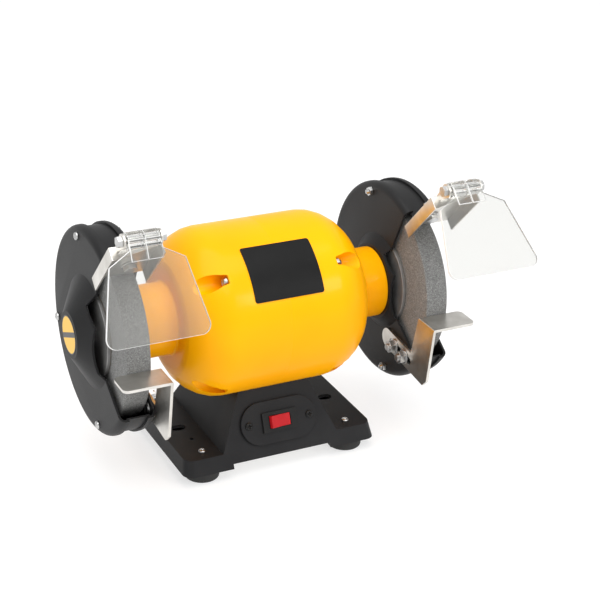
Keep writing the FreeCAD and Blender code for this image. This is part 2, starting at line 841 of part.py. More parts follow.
def guard_cover(side):
    """The guard's outer half, with a raised cone over the wheel nut."""
    base = "(flange_radius + cone_margin)"
    lip = f"({COVER_FACE} - lip_radius)"
    body = turned(
        (f"{CONE_TOP} - guard_sheet", "0"),
        (f"{CONE_TOP} - guard_sheet", "cone_top_radius"),
        (COVER_INSIDE, base),
        (COVER_INSIDE, GUARD_FLAT, "lip_radius - guard_sheet", "left"),
        (lip, LIP_IN),
        (f"{lip} - lip_overlap", LIP_IN),
        (f"{lip} - lip_overlap", GUARD_RADIUS),
        (lip, GUARD_RADIUS, "lip_radius", "right"),
        (COVER_FACE, GUARD_FLAT),
        (COVER_FACE, base),
        (CONE_TOP, "cone_top_radius"),
        (CONE_TOP, "0"),
        side=side,
    )
    open_mouth(body)
    return body


# Where the band ends at the top and turns outwards into the tab that the bracket hangs from
TAB_FORWARD = f"({BAND_IN} * cos(band_top_angle))"
TAB_UP = f"({BAND_IN} * sin(band_top_angle))"
BAND_START = f"({PAN_FACE} + lip_radius)"
BAND_END = f"({COVER_FACE} - lip_radius)"
# Where the bracket's closed side starts, one sliding gap under the tab
BRACKET_FORWARD = f"({TAB_FORWARD} - bracket_inset * cos(bracket_angle) + sliding_gap * sin(bracket_angle))"
BRACKET_UP = f"({TAB_UP} - bracket_inset * sin(bracket_angle) - sliding_gap * cos(bracket_angle))"


def on_bracket(along, drop):
    """A point of the bracket, by its place along the closed side and below it."""
    forward = f"({BRACKET_FORWARD} + ({along}) * cos(bracket_angle) + ({drop}) * sin(bracket_angle))"
    up = f"({BRACKET_UP} + ({along}) * sin(bracket_angle) - ({drop}) * cos(bracket_angle))"
    return forward, up


def guard_band():
    """The rolled rim of the guard, open at the mouth, with a tab bent out at its upper end."""
    width = f"{BAND_END} - {BAND_START}"
    ring = cylinder(BAND_OUT, width)
    ring.setExpression("Angle", bound("360 - band_top_angle - mouth_low_angle"))
    start = ALONG_X + " * " + turn("0; 0; 1", "mouth_low_angle - 90")
    at_shaft(ring, BAND_START, rotation=start)
    inside = at_shaft(cylinder(BAND_IN, width), BAND_START, rotation=ALONG_X)
    tab = box(width, "tab_length", "band_sheet")
    lie = turn("1; 0; 0", "-bracket_angle") + " * " + turn("0; 0; 1", "180")
    at_shaft(tab, BAND_END, TAB_FORWARD, TAB_UP, lie)
    hole = cylinder("clamp_radius", "2 * band_sheet")
    at_shaft(hole, f"({BAND_START} + {BAND_END}) / 2", *on_bracket("clamp_along", "0"), CLAMP_AXIS)
    return cut(fused(cut(ring, inside), tab), hole)


def guards():
    for side in ("left", "right"):
        named(f"{side}_guard_pan", guard_pan(side))
        named(f"{side}_guard_cover", guard_cover(side))
    right_band = named("right_guard_band", guard_band())
    named("left_guard_band", mirrored(right_band))
    bolts, nuts, screws = [], [], []
    length = f"{COVER_FACE} - {PAN_FACE} + guard_nut_height + guard_bolt_tail"
    for forward, up in GUARD_BOLTS:
        bolt = screw("guard_bolt_radius", length, "guard_bolt_head_radius", "guard_bolt_head")
        at_shaft(bolt, COVER_FACE, forward, up, ALONG_X)
        bolts += [bolt, mirrored(bolt)]
        nut = hex_nut("guard_bolt_radius", "guard_nut_flats", "guard_nut_height")
        at_shaft(nut, PAN_FACE, forward, up, AGAINST_X)
        nuts += [nut, mirrored(nut)]
    for forward, up in NECK_SCREWS:
        bite = "neck_screw_length + guard_sheet"
        fixing = screw("neck_screw_radius", bite, "neck_screw_head_radius", "neck_screw_head")
        at_shaft(fixing, f"{NECK_END} + guard_sheet", forward, up, ALONG_X)
        screws += [fixing, mirrored(fixing)]
    named("guard_bolts", group(*bolts))
    named("guard_nuts", group(*nuts))
    named("guard_neck_screws", group(*screws))
    label = at_shaft(cylinder("label_radius", "label_sheet"), CONE_TOP, rotation=ALONG_X)
    named("guard_labels", group(label, mirrored(label)))


# Tool rests


# Studs in the pan: the outer one near the rim, the inner one back along the slot
STUD_CIRCLE = f"({GUARD_FLAT} - stud_inset)"
OUTER_STUD = (f"({STUD_CIRCLE} * cos(stud_angle))", f"(-{STUD_CIRCLE} * sin(stud_angle))")
INNER_STUD = (
    f"({OUTER_STUD[0]} - stud_spacing * cos(rest_slope))",
    f"({OUTER_STUD[1]} + stud_spacing * sin(rest_slope))",
)
STUDS = [OUTER_STUD, INNER_STUD]
# The slot's line passes the shaft at this distance, and the inner stud is this far along it
SLOT_OFFSET = f"(-{INNER_STUD[1]} * cos(rest_slope) - {INNER_STUD[0]} * sin(rest_slope))"
STUD_ALONG = f"({INNER_STUD[0]} * cos(rest_slope) - {INNER_STUD[1]} * sin(rest_slope))"
# The round tail of the rest ends just clear of the pan's dish
TAIL_REACH = "(dish_radius + rest_tail_gap + rest_tail_radius)"
TAIL = f"(sqrt({TAIL_REACH}^2 - {SLOT_OFFSET}^2) - {STUD_ALONG})"
REST_FACE = f"({PAN_FACE} - sliding_gap)"
TABLE_BACK = "(wheel_radius + rest_gap)"


def on_rest(along, rise):
    """A point of the rest's plate, along its slot from the inner stud and up across it."""
    back = f"-({INNER_STUD[0]} + ({along}) * cos(rest_slope) + ({rise}) * sin(rest_slope))"
    up = f"{INNER_STUD[1]} - ({along}) * sin(rest_slope) + ({rise}) * cos(rest_slope)"
    return back, up


def tool_rest():
    """A bent plate: a table in front of the wheel and an arm with a slot for the two studs."""
    body = at_shaft(new_body())
    toe = on_rest("rest_toe_along", "-rest_tail_radius")
    arm = [
        (f"-{TABLE_BACK}", "-rest_drop"),
        on_rest("rest_arm_along", "rest_tail_radius"),
        (*on_rest(TAIL, "rest_tail_radius"), "rest_tail_radius", "right"),
        (*on_rest(f"{TAIL} - rest_tail_radius", "0"), "rest_tail_radius", "right"),
        on_rest(TAIL, "-rest_tail_radius"),
        toe,
        (f"{toe[0]} - rest_toe", f"{toe[1]} + rest_toe"),
        (f"-{TABLE_BACK} - table_depth", "-rest_drop"),
    ]
    back_face = f"{REST_FACE} - rest_sheet"
    pad(body, sketch(body, "YZ_Plane", arm, offset=back_face), "rest_sheet")
    table = [
        (back_face, f"-{TABLE_BACK} - table_depth"),
        (f"{back_face} + table_width", f"-{TABLE_BACK} - table_depth"),
        (f"{back_face} + table_width", f"-{TABLE_BACK}"),
        (back_face, f"-{TABLE_BACK}"),
    ]
    pad(body, sketch(body, "XY_Plane", table, offset="-rest_drop - rest_sheet"), "rest_sheet")
    inner_end = on_rest("-rest_slot_in", "0")
    outer_end = on_rest("stud_spacing + rest_slot_out", "0")
    opening = slot(*outer_end, *inner_end, "rest_slope", "rest_slot_half_width")
    pocket(body, sketch(body, "YZ_Plane", opening))
    round_corners(body, "table_corner", "x", f"{back_face} + table_width")
    return body


def tool_rests():
    right_rest = named("right_tool_rest", tool_rest())
    named("left_tool_rest", mirrored(right_rest))
    studs, nuts, washers = [], [], []
    washer_face = f"({REST_FACE} - rest_sheet - sliding_gap)"
    nut_face = f"({washer_face} - washer_sheet)"
    length = f"{PAN_INSIDE} - {nut_face} + stud_nut_height + stud_tail"
    for forward, up in STUDS:
        stud = screw("stud_radius", length, "stud_head_radius", "stud_head")
        at_shaft(stud, PAN_INSIDE, forward, up, ALONG_X)
        studs += [stud, mirrored(stud)]
        disc = washer("stud_radius", "washer_radius", "washer_sheet")
        at_shaft(disc, washer_face, forward, up, AGAINST_X)
        washers += [disc, mirrored(disc)]
        nut = hex_nut("stud_radius", "stud_nut_flats", "stud_nut_height")
        at_shaft(nut, nut_face, forward, up, AGAINST_X)
        nuts += [nut, mirrored(nut)]
    named("rest_studs", group(*studs))
    named("rest_washers", group(*washers))
    named("rest_nuts", group(*nuts))


# Shield brackets, alike on both sides


HINGE = on_bracket("hinge_along", "hinge_drop")


# The clamp bolt stands in the middle of the band, so it is off the bracket's own middle
BAND_MIDDLE = f"(({BAND_START} + {BAND_END}) / 2)"
CLAMP_OFFSET = {
    "bracket_centre": f"({BAND_MIDDLE} - bracket_centre)",
    "-bracket_centre": f"(bracket_centre - {BAND_MIDDLE})",
}


def shield_bracket(centre):
    """A folded channel: closed side under the tab, two arms, a front flange cut aslant and two ears."""
    body = at_shaft(new_body(), centre, BRACKET_FORWARD, BRACKET_UP, OUTWARDS)
    arm = [
        ("0", "0"),
        ("0", "bracket_depth"),
        ("bracket_length", "bracket_depth"),
        ("bracket_length", "0"),
    ]
    pad(body, sketch(body, "XY_Plane", arm), "bracket_width", "Symmetric")
    channel = [
        ("-bracket_sheet", "bracket_sheet"),
        ("bracket_length - bracket_sheet", "bracket_sheet"),
        ("bracket_length - bracket_sheet", "2 * bracket_depth"),
        ("-bracket_sheet", "2 * bracket_depth"),
    ]
    pocket(body, sketch(body, "XY_Plane", channel), "bracket_width - 2 * bracket_sheet")
    half = "(bracket_width / 2 - bracket_sheet)"
    slant = [
        ("bracket_depth", f"-{half}"),
        ("bracket_lip", half),
        ("2 * bracket_depth", half),
        ("2 * bracket_depth", f"-{half}"),
    ]
    pocket(body, sketch(body, "YZ_Plane", slant))
    ear = [
        ("bracket_length - bracket_sheet", "0"),
        ("bracket_length - bracket_sheet", "bracket_lip"),
        ("hinge_along", "hinge_drop + ear_radius", "ear_radius", "right"),
        ("hinge_along + ear_radius", "hinge_drop", "ear_radius", "right"),
        ("hinge_along", "hinge_drop - ear_radius"),
    ]
    pad(body, sketch(body, "XY_Plane", ear), "ear_width", "Symmetric")
    between_ears = [
        ("bracket_length", "-bracket_depth"),
        ("hinge_along + 2 * ear_radius", "-bracket_depth"),
        ("hinge_along + 2 * ear_radius", "2 * bracket_depth"),
        ("bracket_length", "2 * bracket_depth"),
    ]
    pocket(body, sketch(body, "XY_Plane", between_ears), "ear_width - 2 * bracket_sheet")
    pocket(body, sketch(body, "XY_Plane", ("hinge_along", "hinge_drop", "hinge_radius")))
    clearance = "(clamp_radius + sliding_gap)"
    inner, outer = "(clamp_along - bracket_out)", "(clamp_along + bracket_in)"
    opening = slot(inner, CLAMP_OFFSET[centre], outer, CLAMP_OFFSET[centre], "0", clearance)
    pocket(body, sketch(body, "XZ_Plane", opening), "2 * (bracket_sheet + sliding_gap)")
    return body


def eye_shield(centre, slope):
    """A clear sheet that widens downwards, hung from two knuckles on the hinge bolt."""
    body = at_shaft(new_body(), centre, *HINGE, turn("1; 0; 0", slope))
    back = "knuckle_radius - shield_sheet"
    last = "(ear_width / 2 - bracket_sheet - knuckle_gap)"
    outline = [
        (f"-{last}", "0"),
        (f"-{last}", "-shield_neck"),
        ("-shield_top_half", "-shield_shoulder"),
        ("-shield_low_half", "-shield_length"),
        ("shield_low_half", "-shield_length"),
        ("shield_top_half", "-shield_shoulder"),
        (last, "-shield_neck"),
        (last, "0"),
    ]
    pad(body, sketch(body, "XY_Plane", outline, offset=back), "shield_sheet")
    round_corners(body, "shield_corner", "y", "-shield_length")
    for step in ("0", "(knuckle_length + knuckle_gap)"):
        start = f"({last} - knuckle_length - {step})"
        pad(body, sketch(body, "YZ_Plane", ("0", "0", "knuckle_radius"), offset=start), "knuckle_length")
        tab = [
            (start, "0"),
            (f"{start} + knuckle_length", "0"),
            (f"{start} + knuckle_length", "-shield_tab_length"),
            (start, "-shield_tab_length"),
        ]
        pad(body, sketch(body, "XY_Plane", tab, offset=back), "shield_sheet + shield_tab_sheet")
    pocket(body, sketch(body, "YZ_Plane", ("0", "0", "hinge_radius + running_fit")))
    return body


def eye_shields():
    bolts, nuts, washers = [], [], []
    grip = "2 * (band_sheet + sliding_gap) + bracket_sheet + washer_sheet + clamp_nut_height + clamp_tail"
    for side, sign in (("right", ""), ("left", "-")):
        centre = f"{sign}bracket_centre"
        named(f"{side}_shield_bracket", shield_bracket(centre))
        named(f"{side}_eye_shield", eye_shield(centre, f"{side}_shield_slope"))
        half = "ear_width / 2"
        hinge_length = "ear_width + hinge_nut_height"
        hinge_bolt = hex_bolt("hinge_radius", hinge_length, "hinge_flats", "hinge_head")
        named(f"{side}_hinge_bolt", at_shaft(hinge_bolt, f"{centre} + {half}", *HINGE, ALONG_X))
        hinge_nut = hex_nut("hinge_radius", "hinge_flats", "hinge_nut_height")
        named(f"{side}_hinge_nut", at_shaft(hinge_nut, f"{centre} - {half}", *HINGE, AGAINST_X))
        middle = f"{sign}{BAND_MIDDLE}"
        disc = washer("clamp_radius", "washer_radius", "washer_sheet")
        disc_face = on_bracket("clamp_along", "bracket_sheet + sliding_gap + washer_sheet")
        washers.append(at_shaft(disc, middle, *disc_face, CLAMP_AXIS))
        bolt = hex_bolt("clamp_radius", grip, "clamp_flats", "clamp_head")
        bolts.append(at_shaft(bolt, middle, *disc_face, CLAMP_AXIS + " * " + DOWN))
        nut = hex_nut("clamp_radius", "clamp_flats", "clamp_nut_height")
        nut_face = on_bracket("clamp_along", "-sliding_gap - band_sheet")
        nuts.append(at_shaft(nut, middle, *nut_face, CLAMP_AXIS))
    named("bracket_clamp_bolts", group(*bolts))
    named("bracket_clamp_washers", group(*washers))
    named("bracket_clamp_nuts", group(*nuts))


# Base, feet and what the base holds


# The strap's screws stand outside the capacitor
STRAP_SCREW = "(capacitor_radius + strap_sheet + strap_foot / 2)"


# The rocker's pins lie this far out of the panel
ROCKER_PIVOT = "(switch_plate_sheet + bezel_sheet / 2 - rocker_waist)"


# Height of the capacitor's axis as it lies on the bottom plate
CAPACITOR_HEIGHT = f"({PLATE_TOP} + seat_gap + capacitor_radius)"


def skirt_half_depth(height):
    return f"(flange_half_depth + (flange_top - ({height})) * tan(panel_tilt))"


def skirt_half_width(height):
    return f"(flange_half_width + (flange_top - ({height})) * tan(skirt_side_tilt))"


def pedestal_half(half, tilt, height):
    return f"({half} - (({height}) - flange_top) * tan({tilt}))"


def bench_slot(depth, height):
    """Tools that cut the two slots for the bench bolts."""
    straight = "(slot_length - 2 * slot_half_width)"
    tools = []
    for sign in ("", "-"):
        middle = box(straight, "2 * slot_half_width", depth)
        tools.append(above_bench(middle, f"{sign}slot_centre - {straight} / 2", "-slot_half_width", height))
        for end in ("", "-"):
            rounding = cylinder("slot_half_width", depth)
            tools.append(above_bench(rounding, f"{sign}slot_centre + {end}{straight} / 2", "0", height))
    return tools


def base_housing():
    """The cast base: a skirt with four corner pads, a pedestal with sloped panels and a saddle."""
    top = "(flange_top + pedestal_height)"
    skirt = wedge(skirt_half_width("skirt_bottom"), skirt_half_depth("skirt_bottom"),
                  "flange_half_width", "flange_half_depth", "skirt_bottom", "flange_top")
    pedestal = wedge("pedestal_half_width", "flange_half_depth",
                     pedestal_half("pedestal_half_width", "side_tilt", top),
                     pedestal_half("flange_half_depth", "panel_tilt", top), "flange_top", top)
    ceiling = "(flange_top - flange_sheet)"
    skirt_room = wedge(f"{skirt_half_width('skirt_bottom')} - base_wall",
                       f"{skirt_half_depth('skirt_bottom')} - base_wall",
                       f"{skirt_half_width(ceiling)} - base_wall",
                       f"{skirt_half_depth(ceiling)} - base_wall", "skirt_bottom", ceiling)
    room_width = "(pedestal_half_width - base_wall)"
    room_depth = "(flange_half_depth - base_wall)"
    pedestal_room = wedge(pedestal_half(room_width, "side_tilt", ceiling),
                          pedestal_half(room_depth, "panel_tilt", ceiling),
                          pedestal_half(room_width, "side_tilt", ROOF),
                          pedestal_half(room_depth, "panel_tilt", ROOF), ceiling, ROOF)
    saddle = cylinder("motor_radius + seat_gap", "2 * motor_half_length")
    at_shaft(saddle, "-motor_half_length", rotation=ALONG_X)
    depth = skirt_half_depth("skirt_bottom")
    passage = box("2 * skirt_gap_half", f"2 * {depth}", "skirt_rise")
    above_bench(passage, "-skirt_gap_half", f"-{depth}", "skirt_bottom")
    tools = [passage, saddle, *bench_slot("2 * flange_sheet", ceiling)]
    drain = cylinder("drain_radius", "2 * flange_sheet")
    tools.append(above_bench(drain, "-drain_x", "-drain_forward", ceiling))
    bosses = []
    for along, across in FOUR_CORNERS:
        place = (f"{along}foot_x", f"{across}foot_y")
        boss = cylinder("foot_boss_radius", f"{ceiling} - {PLATE_TOP}")
        bosses.append(above_bench(boss, *place, PLATE_TOP))
        hole = cylinder("foot_screw_radius", f"flange_top - {PLATE_TOP}")
        tools.append(above_bench(hole, *place, PLATE_TOP))
        hole = cylinder("saddle_screw_radius", SADDLE_SCREW_LENGTH)
        tools.append(above_bench(hole, f"{along}saddle_screw_x", f"{across}saddle_screw_y", ROOF))
    room_length = "(switch_body_length + 2 * seat_gap)"
    room_height = "(switch_body_width + 2 * seat_gap)"
    room = box(room_length, room_height, "switch_body_depth")
    on_panel(room, f"-{room_length} / 2", f"-{room_height} / 2", "-switch_body_depth")
    tools.append(room)
    for side in ("", "-"):
        hole = cylinder("switch_screw_radius", "switch_screw_length")
        tools.append(on_panel(hole, f"{side}switch_screw_x", "0", "-switch_screw_length"))
    hole = cylinder("gland_radius", "gland_tail + gland_flange")
    tools.append(on_back_panel(hole, "-gland_tail"))
    shell = cut(fused(skirt, pedestal), skirt_room, pedestal_room)
    return cut(fused(shell, *bosses), *tools)


def on_panel(piece, x, up_slope, out, flip=""):
    """Places a piece on the front panel, counted from the middle of the switch."""
    depth = pedestal_half("flange_half_depth", "panel_tilt", "flange_top + switch_height")
    y = f"-{depth} + ({up_slope}) * sin(panel_tilt) - ({out}) * cos(panel_tilt)"
    height = f"flange_top + switch_height + ({up_slope}) * cos(panel_tilt) + ({out}) * sin(panel_tilt)"
    return above_bench(piece, x, y, height, FRONT_PANEL + flip)


def on_back_panel(piece, out):
    """Places a piece on the axis of the cable gland, counted outwards from the back panel."""
    depth = pedestal_half("flange_half_depth", "panel_tilt", "flange_top + gland_height")
    y = f"{depth} + ({out}) * cos(panel_tilt)"
    return above_bench(piece, "0", y, f"flange_top + gland_height + ({out}) * sin(panel_tilt)", BACK_PANEL)


def bottom_plate():
    width = f"({skirt_half_width(PLATE_TOP)} - base_wall - bottom_gap)"
    depth = f"({skirt_half_depth(PLATE_TOP)} - base_wall - bottom_gap)"
    plate = box(f"2 * {width}", f"2 * {depth}", "bottom_sheet")
    above_bench(plate, f"-{width}", f"-{depth}", PLATE_LOW)
    tools = bench_slot("bottom_sheet", PLATE_LOW)
    for along, across in FOUR_CORNERS:
        hole = cylinder("foot_screw_radius", "bottom_sheet")
        tools.append(above_bench(hole, f"{along}foot_x", f"{across}foot_y", PLATE_LOW))
    for side in ("", "-"):
        hole = cylinder("strap_screw_radius", "bottom_sheet")
        tools.append(above_bench(hole, "0", f"capacitor_y + {side}{STRAP_SCREW}", PLATE_LOW))
    return cut(plate, *tools)


def rubber_foot():
    """A round foot with a collar inside the skirt and a recess for the nut."""
    neck = f"({PLATE_LOW} - foot_collar)"
    corners = [
        ("foot_screw_radius", "foot_recess"),
        ("foot_recess_radius", "foot_recess"),
        ("foot_recess_radius", "0"),
        ("foot_radius - foot_chamfer", "0"),
        ("foot_radius", "foot_chamfer"),
        ("foot_radius", neck),
        ("foot_top_radius", neck),
        ("foot_top_radius", PLATE_LOW),
        ("foot_screw_radius", PLATE_LOW),
    ]
    return revolved(new_body(), "XZ_Plane", corners, "V_Axis")


def feet():
    rubbers, screws, nuts = [], [], []
    for along, across in FOUR_CORNERS:
        place = (f"{along}foot_x", f"{across}foot_y")
        rubbers.append(above_bench(rubber_foot(), *place))
        length = "flange_top - foot_recess + foot_nut_height"
        fixing = screw("foot_screw_radius", length, "foot_screw_head_radius", "foot_screw_head")
        screws.append(above_bench(fixing, *place, "flange_top"))
        nut = hex_nut("foot_screw_radius", "foot_nut_flats", "foot_nut_height")
        nuts.append(above_bench(nut, *place, "foot_recess - foot_nut_height"))
    named("rubber_feet", group(*rubbers))
    named("foot_screws", group(*screws))
    named("foot_nuts", group(*nuts))


def saddle_screws():
    screws = []
    head = ("saddle_screw_head_radius", "saddle_screw_head")
    for along, across in FOUR_CORNERS:
        fixing = screw("saddle_screw_radius", SADDLE_SCREW_LENGTH, *head)
        place = (f"{along}saddle_screw_x", f"{across}saddle_screw_y", ROOF)
        screws.append(above_bench(fixing, *place, DOWN))
    return group(*screws)


def switch_plate():
    """A round-ended plate on the front panel with an opening for the switch."""
    end = "(switch_plate_length / 2 - switch_plate_half)"
    body = new_body()
    outline = slot(f"-{end}", "0", end, "0", "0", "switch_plate_half")
    opening = rectangle("switch_body_length + 2 * seat_gap", "switch_body_width + 2 * seat_gap")
    holes = [(f"{side}switch_screw_x", "0", "switch_screw_radius") for side in ("", "-")]
    pad(body, sketch(body, "XY_Plane", outline, opening, *holes), "switch_plate_sheet")
    return on_panel(body, "0", "0", "0")


def rectangle(length, width):
    return [
        (f"-({length}) / 2", f"-({width}) / 2"),
        (f"({length}) / 2", f"-({width}) / 2"),
        (f"({length}) / 2", f"({width}) / 2"),
        (f"-({length}) / 2", f"({width}) / 2"),
    ]


def switch_body():
    """The bezel and the body behind it, with a well for the rocker and holes for its pins."""
    body = new_body()
    bezel = sketch(body, "XY_Plane", rectangle("bezel_length", "bezel_width"), offset="switch_plate_sheet")
    pad(body, bezel, "bezel_sheet")
    core = rectangle("switch_body_length", "switch_body_width")
    back = sketch(body, "XY_Plane", core, offset="switch_plate_sheet")
    pad(body, back, "switch_plate_sheet + switch_body_depth", against=True)
    well = rectangle("2 * (rocker_swing_radius + rocker_gap)", "rocker_width + 2 * rocker_gap")
    top = sketch(body, "XY_Plane", well, offset="switch_plate_sheet + bezel_sheet")
    pocket(body, top, "2 * well_depth")
    reach = "rocker_width + 2 * (rocker_gap + rocker_pin_length)"
    pins = sketch(body, "XZ_Plane", ("0", ROCKER_PIVOT, "rocker_pin_radius + running_fit"))
    pocket(body, pins, reach)
    return on_panel(body, "0", "0", "0")


def rocker():
    """The rocker, turned about its pins so that one end stands up."""
    body = new_body()
    tilt = "rocker_throw / 2"
    swing = "rocker_swing_radius"
    top = f"({swing} * sin(rocker_rise) - rocker_waist)"
    profile = [
        (f"-{swing} * cos(rocker_rise)", f"{swing} * sin(rocker_rise)", swing, "left"),
        (f"-{swing}", "0"),
        (f"-{swing} / 2", "-rocker_depth"),
        (f"{swing} / 2", "-rocker_depth"),
        (swing, "0", swing, "left"),
        (f"{swing} * cos(rocker_rise)", f"{swing} * sin(rocker_rise)"),
        ("0", top),
    ]
    pad(body, sketch(body, "XZ_Plane", profile), "rocker_width", "Symmetric")
    pins = sketch(body, "XZ_Plane", ("0", "0", "rocker_pin_radius"))
    pad(body, pins, "rocker_width + 2 * rocker_pin_length", "Symmetric")
    return on_panel(body, "0", "0", ROCKER_PIVOT, " * " + turn("0; 1; 0", tilt))


def switch():
    named("switch_plate", switch_plate())
    screws = []
    for side in ("", "-"):
        length = "switch_screw_length + switch_plate_sheet"
        fixing = screw("switch_screw_radius", length, "switch_screw_head_radius", "switch_screw_head")
        screws.append(on_panel(fixing, f"{side}switch_screw_x", "0", "switch_plate_sheet"))
    named("switch_plate_screws", group(*screws))
    named("switch_body", switch_body())
    named("switch_rocker", rocker())


def capacitor_strap():
    """A strap bent over the capacitor, with a foot on each side."""
    body = above_bench(new_body(), "0", "capacitor_y", CAPACITOR_HEIGHT)
    inner = "(capacitor_radius + seat_gap)"
    outer = f"({inner} + strap_sheet)"
    floor = f"({PLATE_TOP} - {CAPACITOR_HEIGHT})"
    reach = f"({outer} + strap_foot)"
    outline = [
        (f"-{reach}", floor),
        (f"-{inner}", floor),
        (f"-{inner}", "0", inner, "right"),
        ("0", inner, inner, "right"),
        (inner, "0"),
        (inner, floor),
        (reach, floor),
        (reach, f"{floor} + strap_sheet"),
        (outer, f"{floor} + strap_sheet"),
        (outer, "0", outer, "left"),
        ("0", outer, outer, "left"),
        (f"-{outer}", "0"),
        (f"-{outer}", f"{floor} + strap_sheet"),
        (f"-{reach}", f"{floor} + strap_sheet"),
    ]
    pad(body, sketch(body, "YZ_Plane", outline), "strap_width", "Symmetric")
    holes = [("0", f"{side}{STRAP_SCREW}", "strap_screw_radius") for side in ("", "-")]
    pocket(body, sketch(body, "XY_Plane", *holes))
    return body


def cable_gland():
    """A turned gland in the back panel, open for a lead."""
    corners = [
        ("gland_bore_radius", "-gland_tail"),
        ("gland_radius", "-gland_tail"),
        ("gland_radius", "0"),
        ("gland_flange_radius", "0"),
        ("gland_flange_radius", "gland_flange"),
        ("gland_radius", "gland_flange"),
        ("(gland_radius + gland_bore_radius) / 2", "gland_flange + gland_nose"),
        ("gland_bore_radius", "gland_flange + gland_nose"),
    ]
    return on_back_panel(revolved(new_body(), "XZ_Plane", corners, "V_Axis"), "0")


def base():
    named("base_housing", base_housing())
    named("base_bottom_plate", bottom_plate())
    feet()
    named("motor_base_screws", saddle_screws())
    switch()
    can = cylinder("capacitor_radius", "capacitor_length")
    named("capacitor", above_bench(can, "-capacitor_length / 2", "capacitor_y", CAPACITOR_HEIGHT, ALONG_X))
    named("capacitor_strap", capacitor_strap())
    screws = []
    head = ("strap_screw_head_radius", "strap_screw_head")
    for side in ("", "-"):
        fixing = screw("strap_screw_radius", "strap_screw_length", *head)
        height = f"{PLATE_TOP} + strap_sheet"
        screws.append(above_bench(fixing, "0", f"capacitor_y + {side}{STRAP_SCREW}", height))
    named("capacitor_strap_screws", group(*screws))
    named("cable_gland", cable_gland())


base()
motor()
wheels()
guards()
tool_rests()
eye_shields()
document.recompute()

# Every object has to be sound before anything is written
for item in document.Objects:
    if "Invalid" in item.State or "Error" in item.State:
        raise RuntimeError(f"{item.Label} failed: {item.State}")
    if item.TypeId == "PartDesign::Pocket" and item.Shape.Volume >= item.BaseFeature.Shape.Volume:
        raise RuntimeError(f"{item.Label} cuts nothing")
for piece in subparts:
    if piece.Shape.isNull() or not piece.Shape.isValid() or not piece.Shape.Solids:
        raise RuntimeError(f"{piece.Label} has no sound shape")

os.makedirs("parts", exist_ok=True)
for piece in subparts:
    piece.Shape.exportStep(f"parts/{piece.Label}.step")
print(f"{len(subparts)} sub-parts written")
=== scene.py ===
import json
import math

import bmesh
import bpy
from mathutils import Matrix, Vector


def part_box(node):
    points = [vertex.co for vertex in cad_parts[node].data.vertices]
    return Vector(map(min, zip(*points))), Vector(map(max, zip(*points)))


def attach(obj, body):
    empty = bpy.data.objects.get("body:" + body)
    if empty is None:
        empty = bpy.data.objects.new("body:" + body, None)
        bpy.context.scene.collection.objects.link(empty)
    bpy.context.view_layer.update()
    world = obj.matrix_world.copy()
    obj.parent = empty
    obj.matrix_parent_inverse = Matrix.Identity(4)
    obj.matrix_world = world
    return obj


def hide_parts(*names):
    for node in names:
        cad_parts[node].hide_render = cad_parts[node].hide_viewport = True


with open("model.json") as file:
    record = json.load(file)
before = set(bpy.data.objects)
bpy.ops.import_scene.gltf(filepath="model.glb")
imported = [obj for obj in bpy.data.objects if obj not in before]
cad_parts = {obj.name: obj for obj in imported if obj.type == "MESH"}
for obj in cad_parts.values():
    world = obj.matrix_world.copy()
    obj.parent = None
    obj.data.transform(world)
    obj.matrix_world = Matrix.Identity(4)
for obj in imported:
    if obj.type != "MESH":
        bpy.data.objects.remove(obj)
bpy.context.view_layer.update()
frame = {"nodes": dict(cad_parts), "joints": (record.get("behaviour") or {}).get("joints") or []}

# Base housing
# A black painted casting: a skirt on four corner pads, a pedestal with sloped panels and a saddle
# that the motor lies in. The paint is satin with a fine grain, and every edge is slightly rounded.
base_edge = 0.0011
base_corner = 0.008
base_corner_steps = 6
skirt_share = 0.9
base_black = (0.010, 0.010, 0.011, 1)
base_grey = (0.016, 0.016, 0.017, 1)
dark_share = 0.3
light_share = 0.7
grain_detail = 3
edge_steps = 3
same_place = 1e-6
flat_angle = math.radians(1)
edge_angle = math.radians(20)


def surface(name, dark, light, cloud, grain, depth, roughness, **constants):
    """A finish of two tones in soft clouds, with a fine grain in its gloss and its bump."""
    material = bpy.data.materials.new(name)
    material.use_nodes = True
    nodes, links = material.node_tree.nodes, material.node_tree.links
    shader = nodes["Principled BSDF"]
    place = nodes.new("ShaderNodeTexCoord")
    clouds = nodes.new("ShaderNodeTexNoise")
    clouds.inputs["Scale"].default_value = cloud
    tones = nodes.new("ShaderNodeValToRGB")
    tones.color_ramp.elements[0].position = dark_share
    tones.color_ramp.elements[0].color = dark
    tones.color_ramp.elements[1].position = light_share
    tones.color_ramp.elements[1].color = light
    grains = nodes.new("ShaderNodeTexNoise")
    grains.inputs["Scale"].default_value = grain
    grains.inputs["Detail"].default_value = grain_detail
    gloss = nodes.new("ShaderNodeMapRange")
    gloss.inputs["To Min"].default_value = roughness[0]
    gloss.inputs["To Max"].default_value = roughness[1]
    bump = nodes.new("ShaderNodeBump")
    bump.inputs["Distance"].default_value = depth
    links.new(place.outputs["Object"], clouds.inputs["Vector"])
    links.new(place.outputs["Object"], grains.inputs["Vector"])
    links.new(clouds.outputs["Fac"], tones.inputs["Fac"])
    links.new(tones.outputs["Color"], shader.inputs["Base Color"])
    links.new(grains.outputs["Fac"], gloss.inputs["Value"])
    links.new(gloss.outputs["Result"], shader.inputs["Roughness"])
    links.new(grains.outputs["Fac"], bump.inputs["Height"])
    links.new(bump.outputs["Normal"], shader.inputs["Normal"])
    for socket, amount in constants.items():
        shader.inputs[socket.replace("_", " ")].default_value = amount
    return material


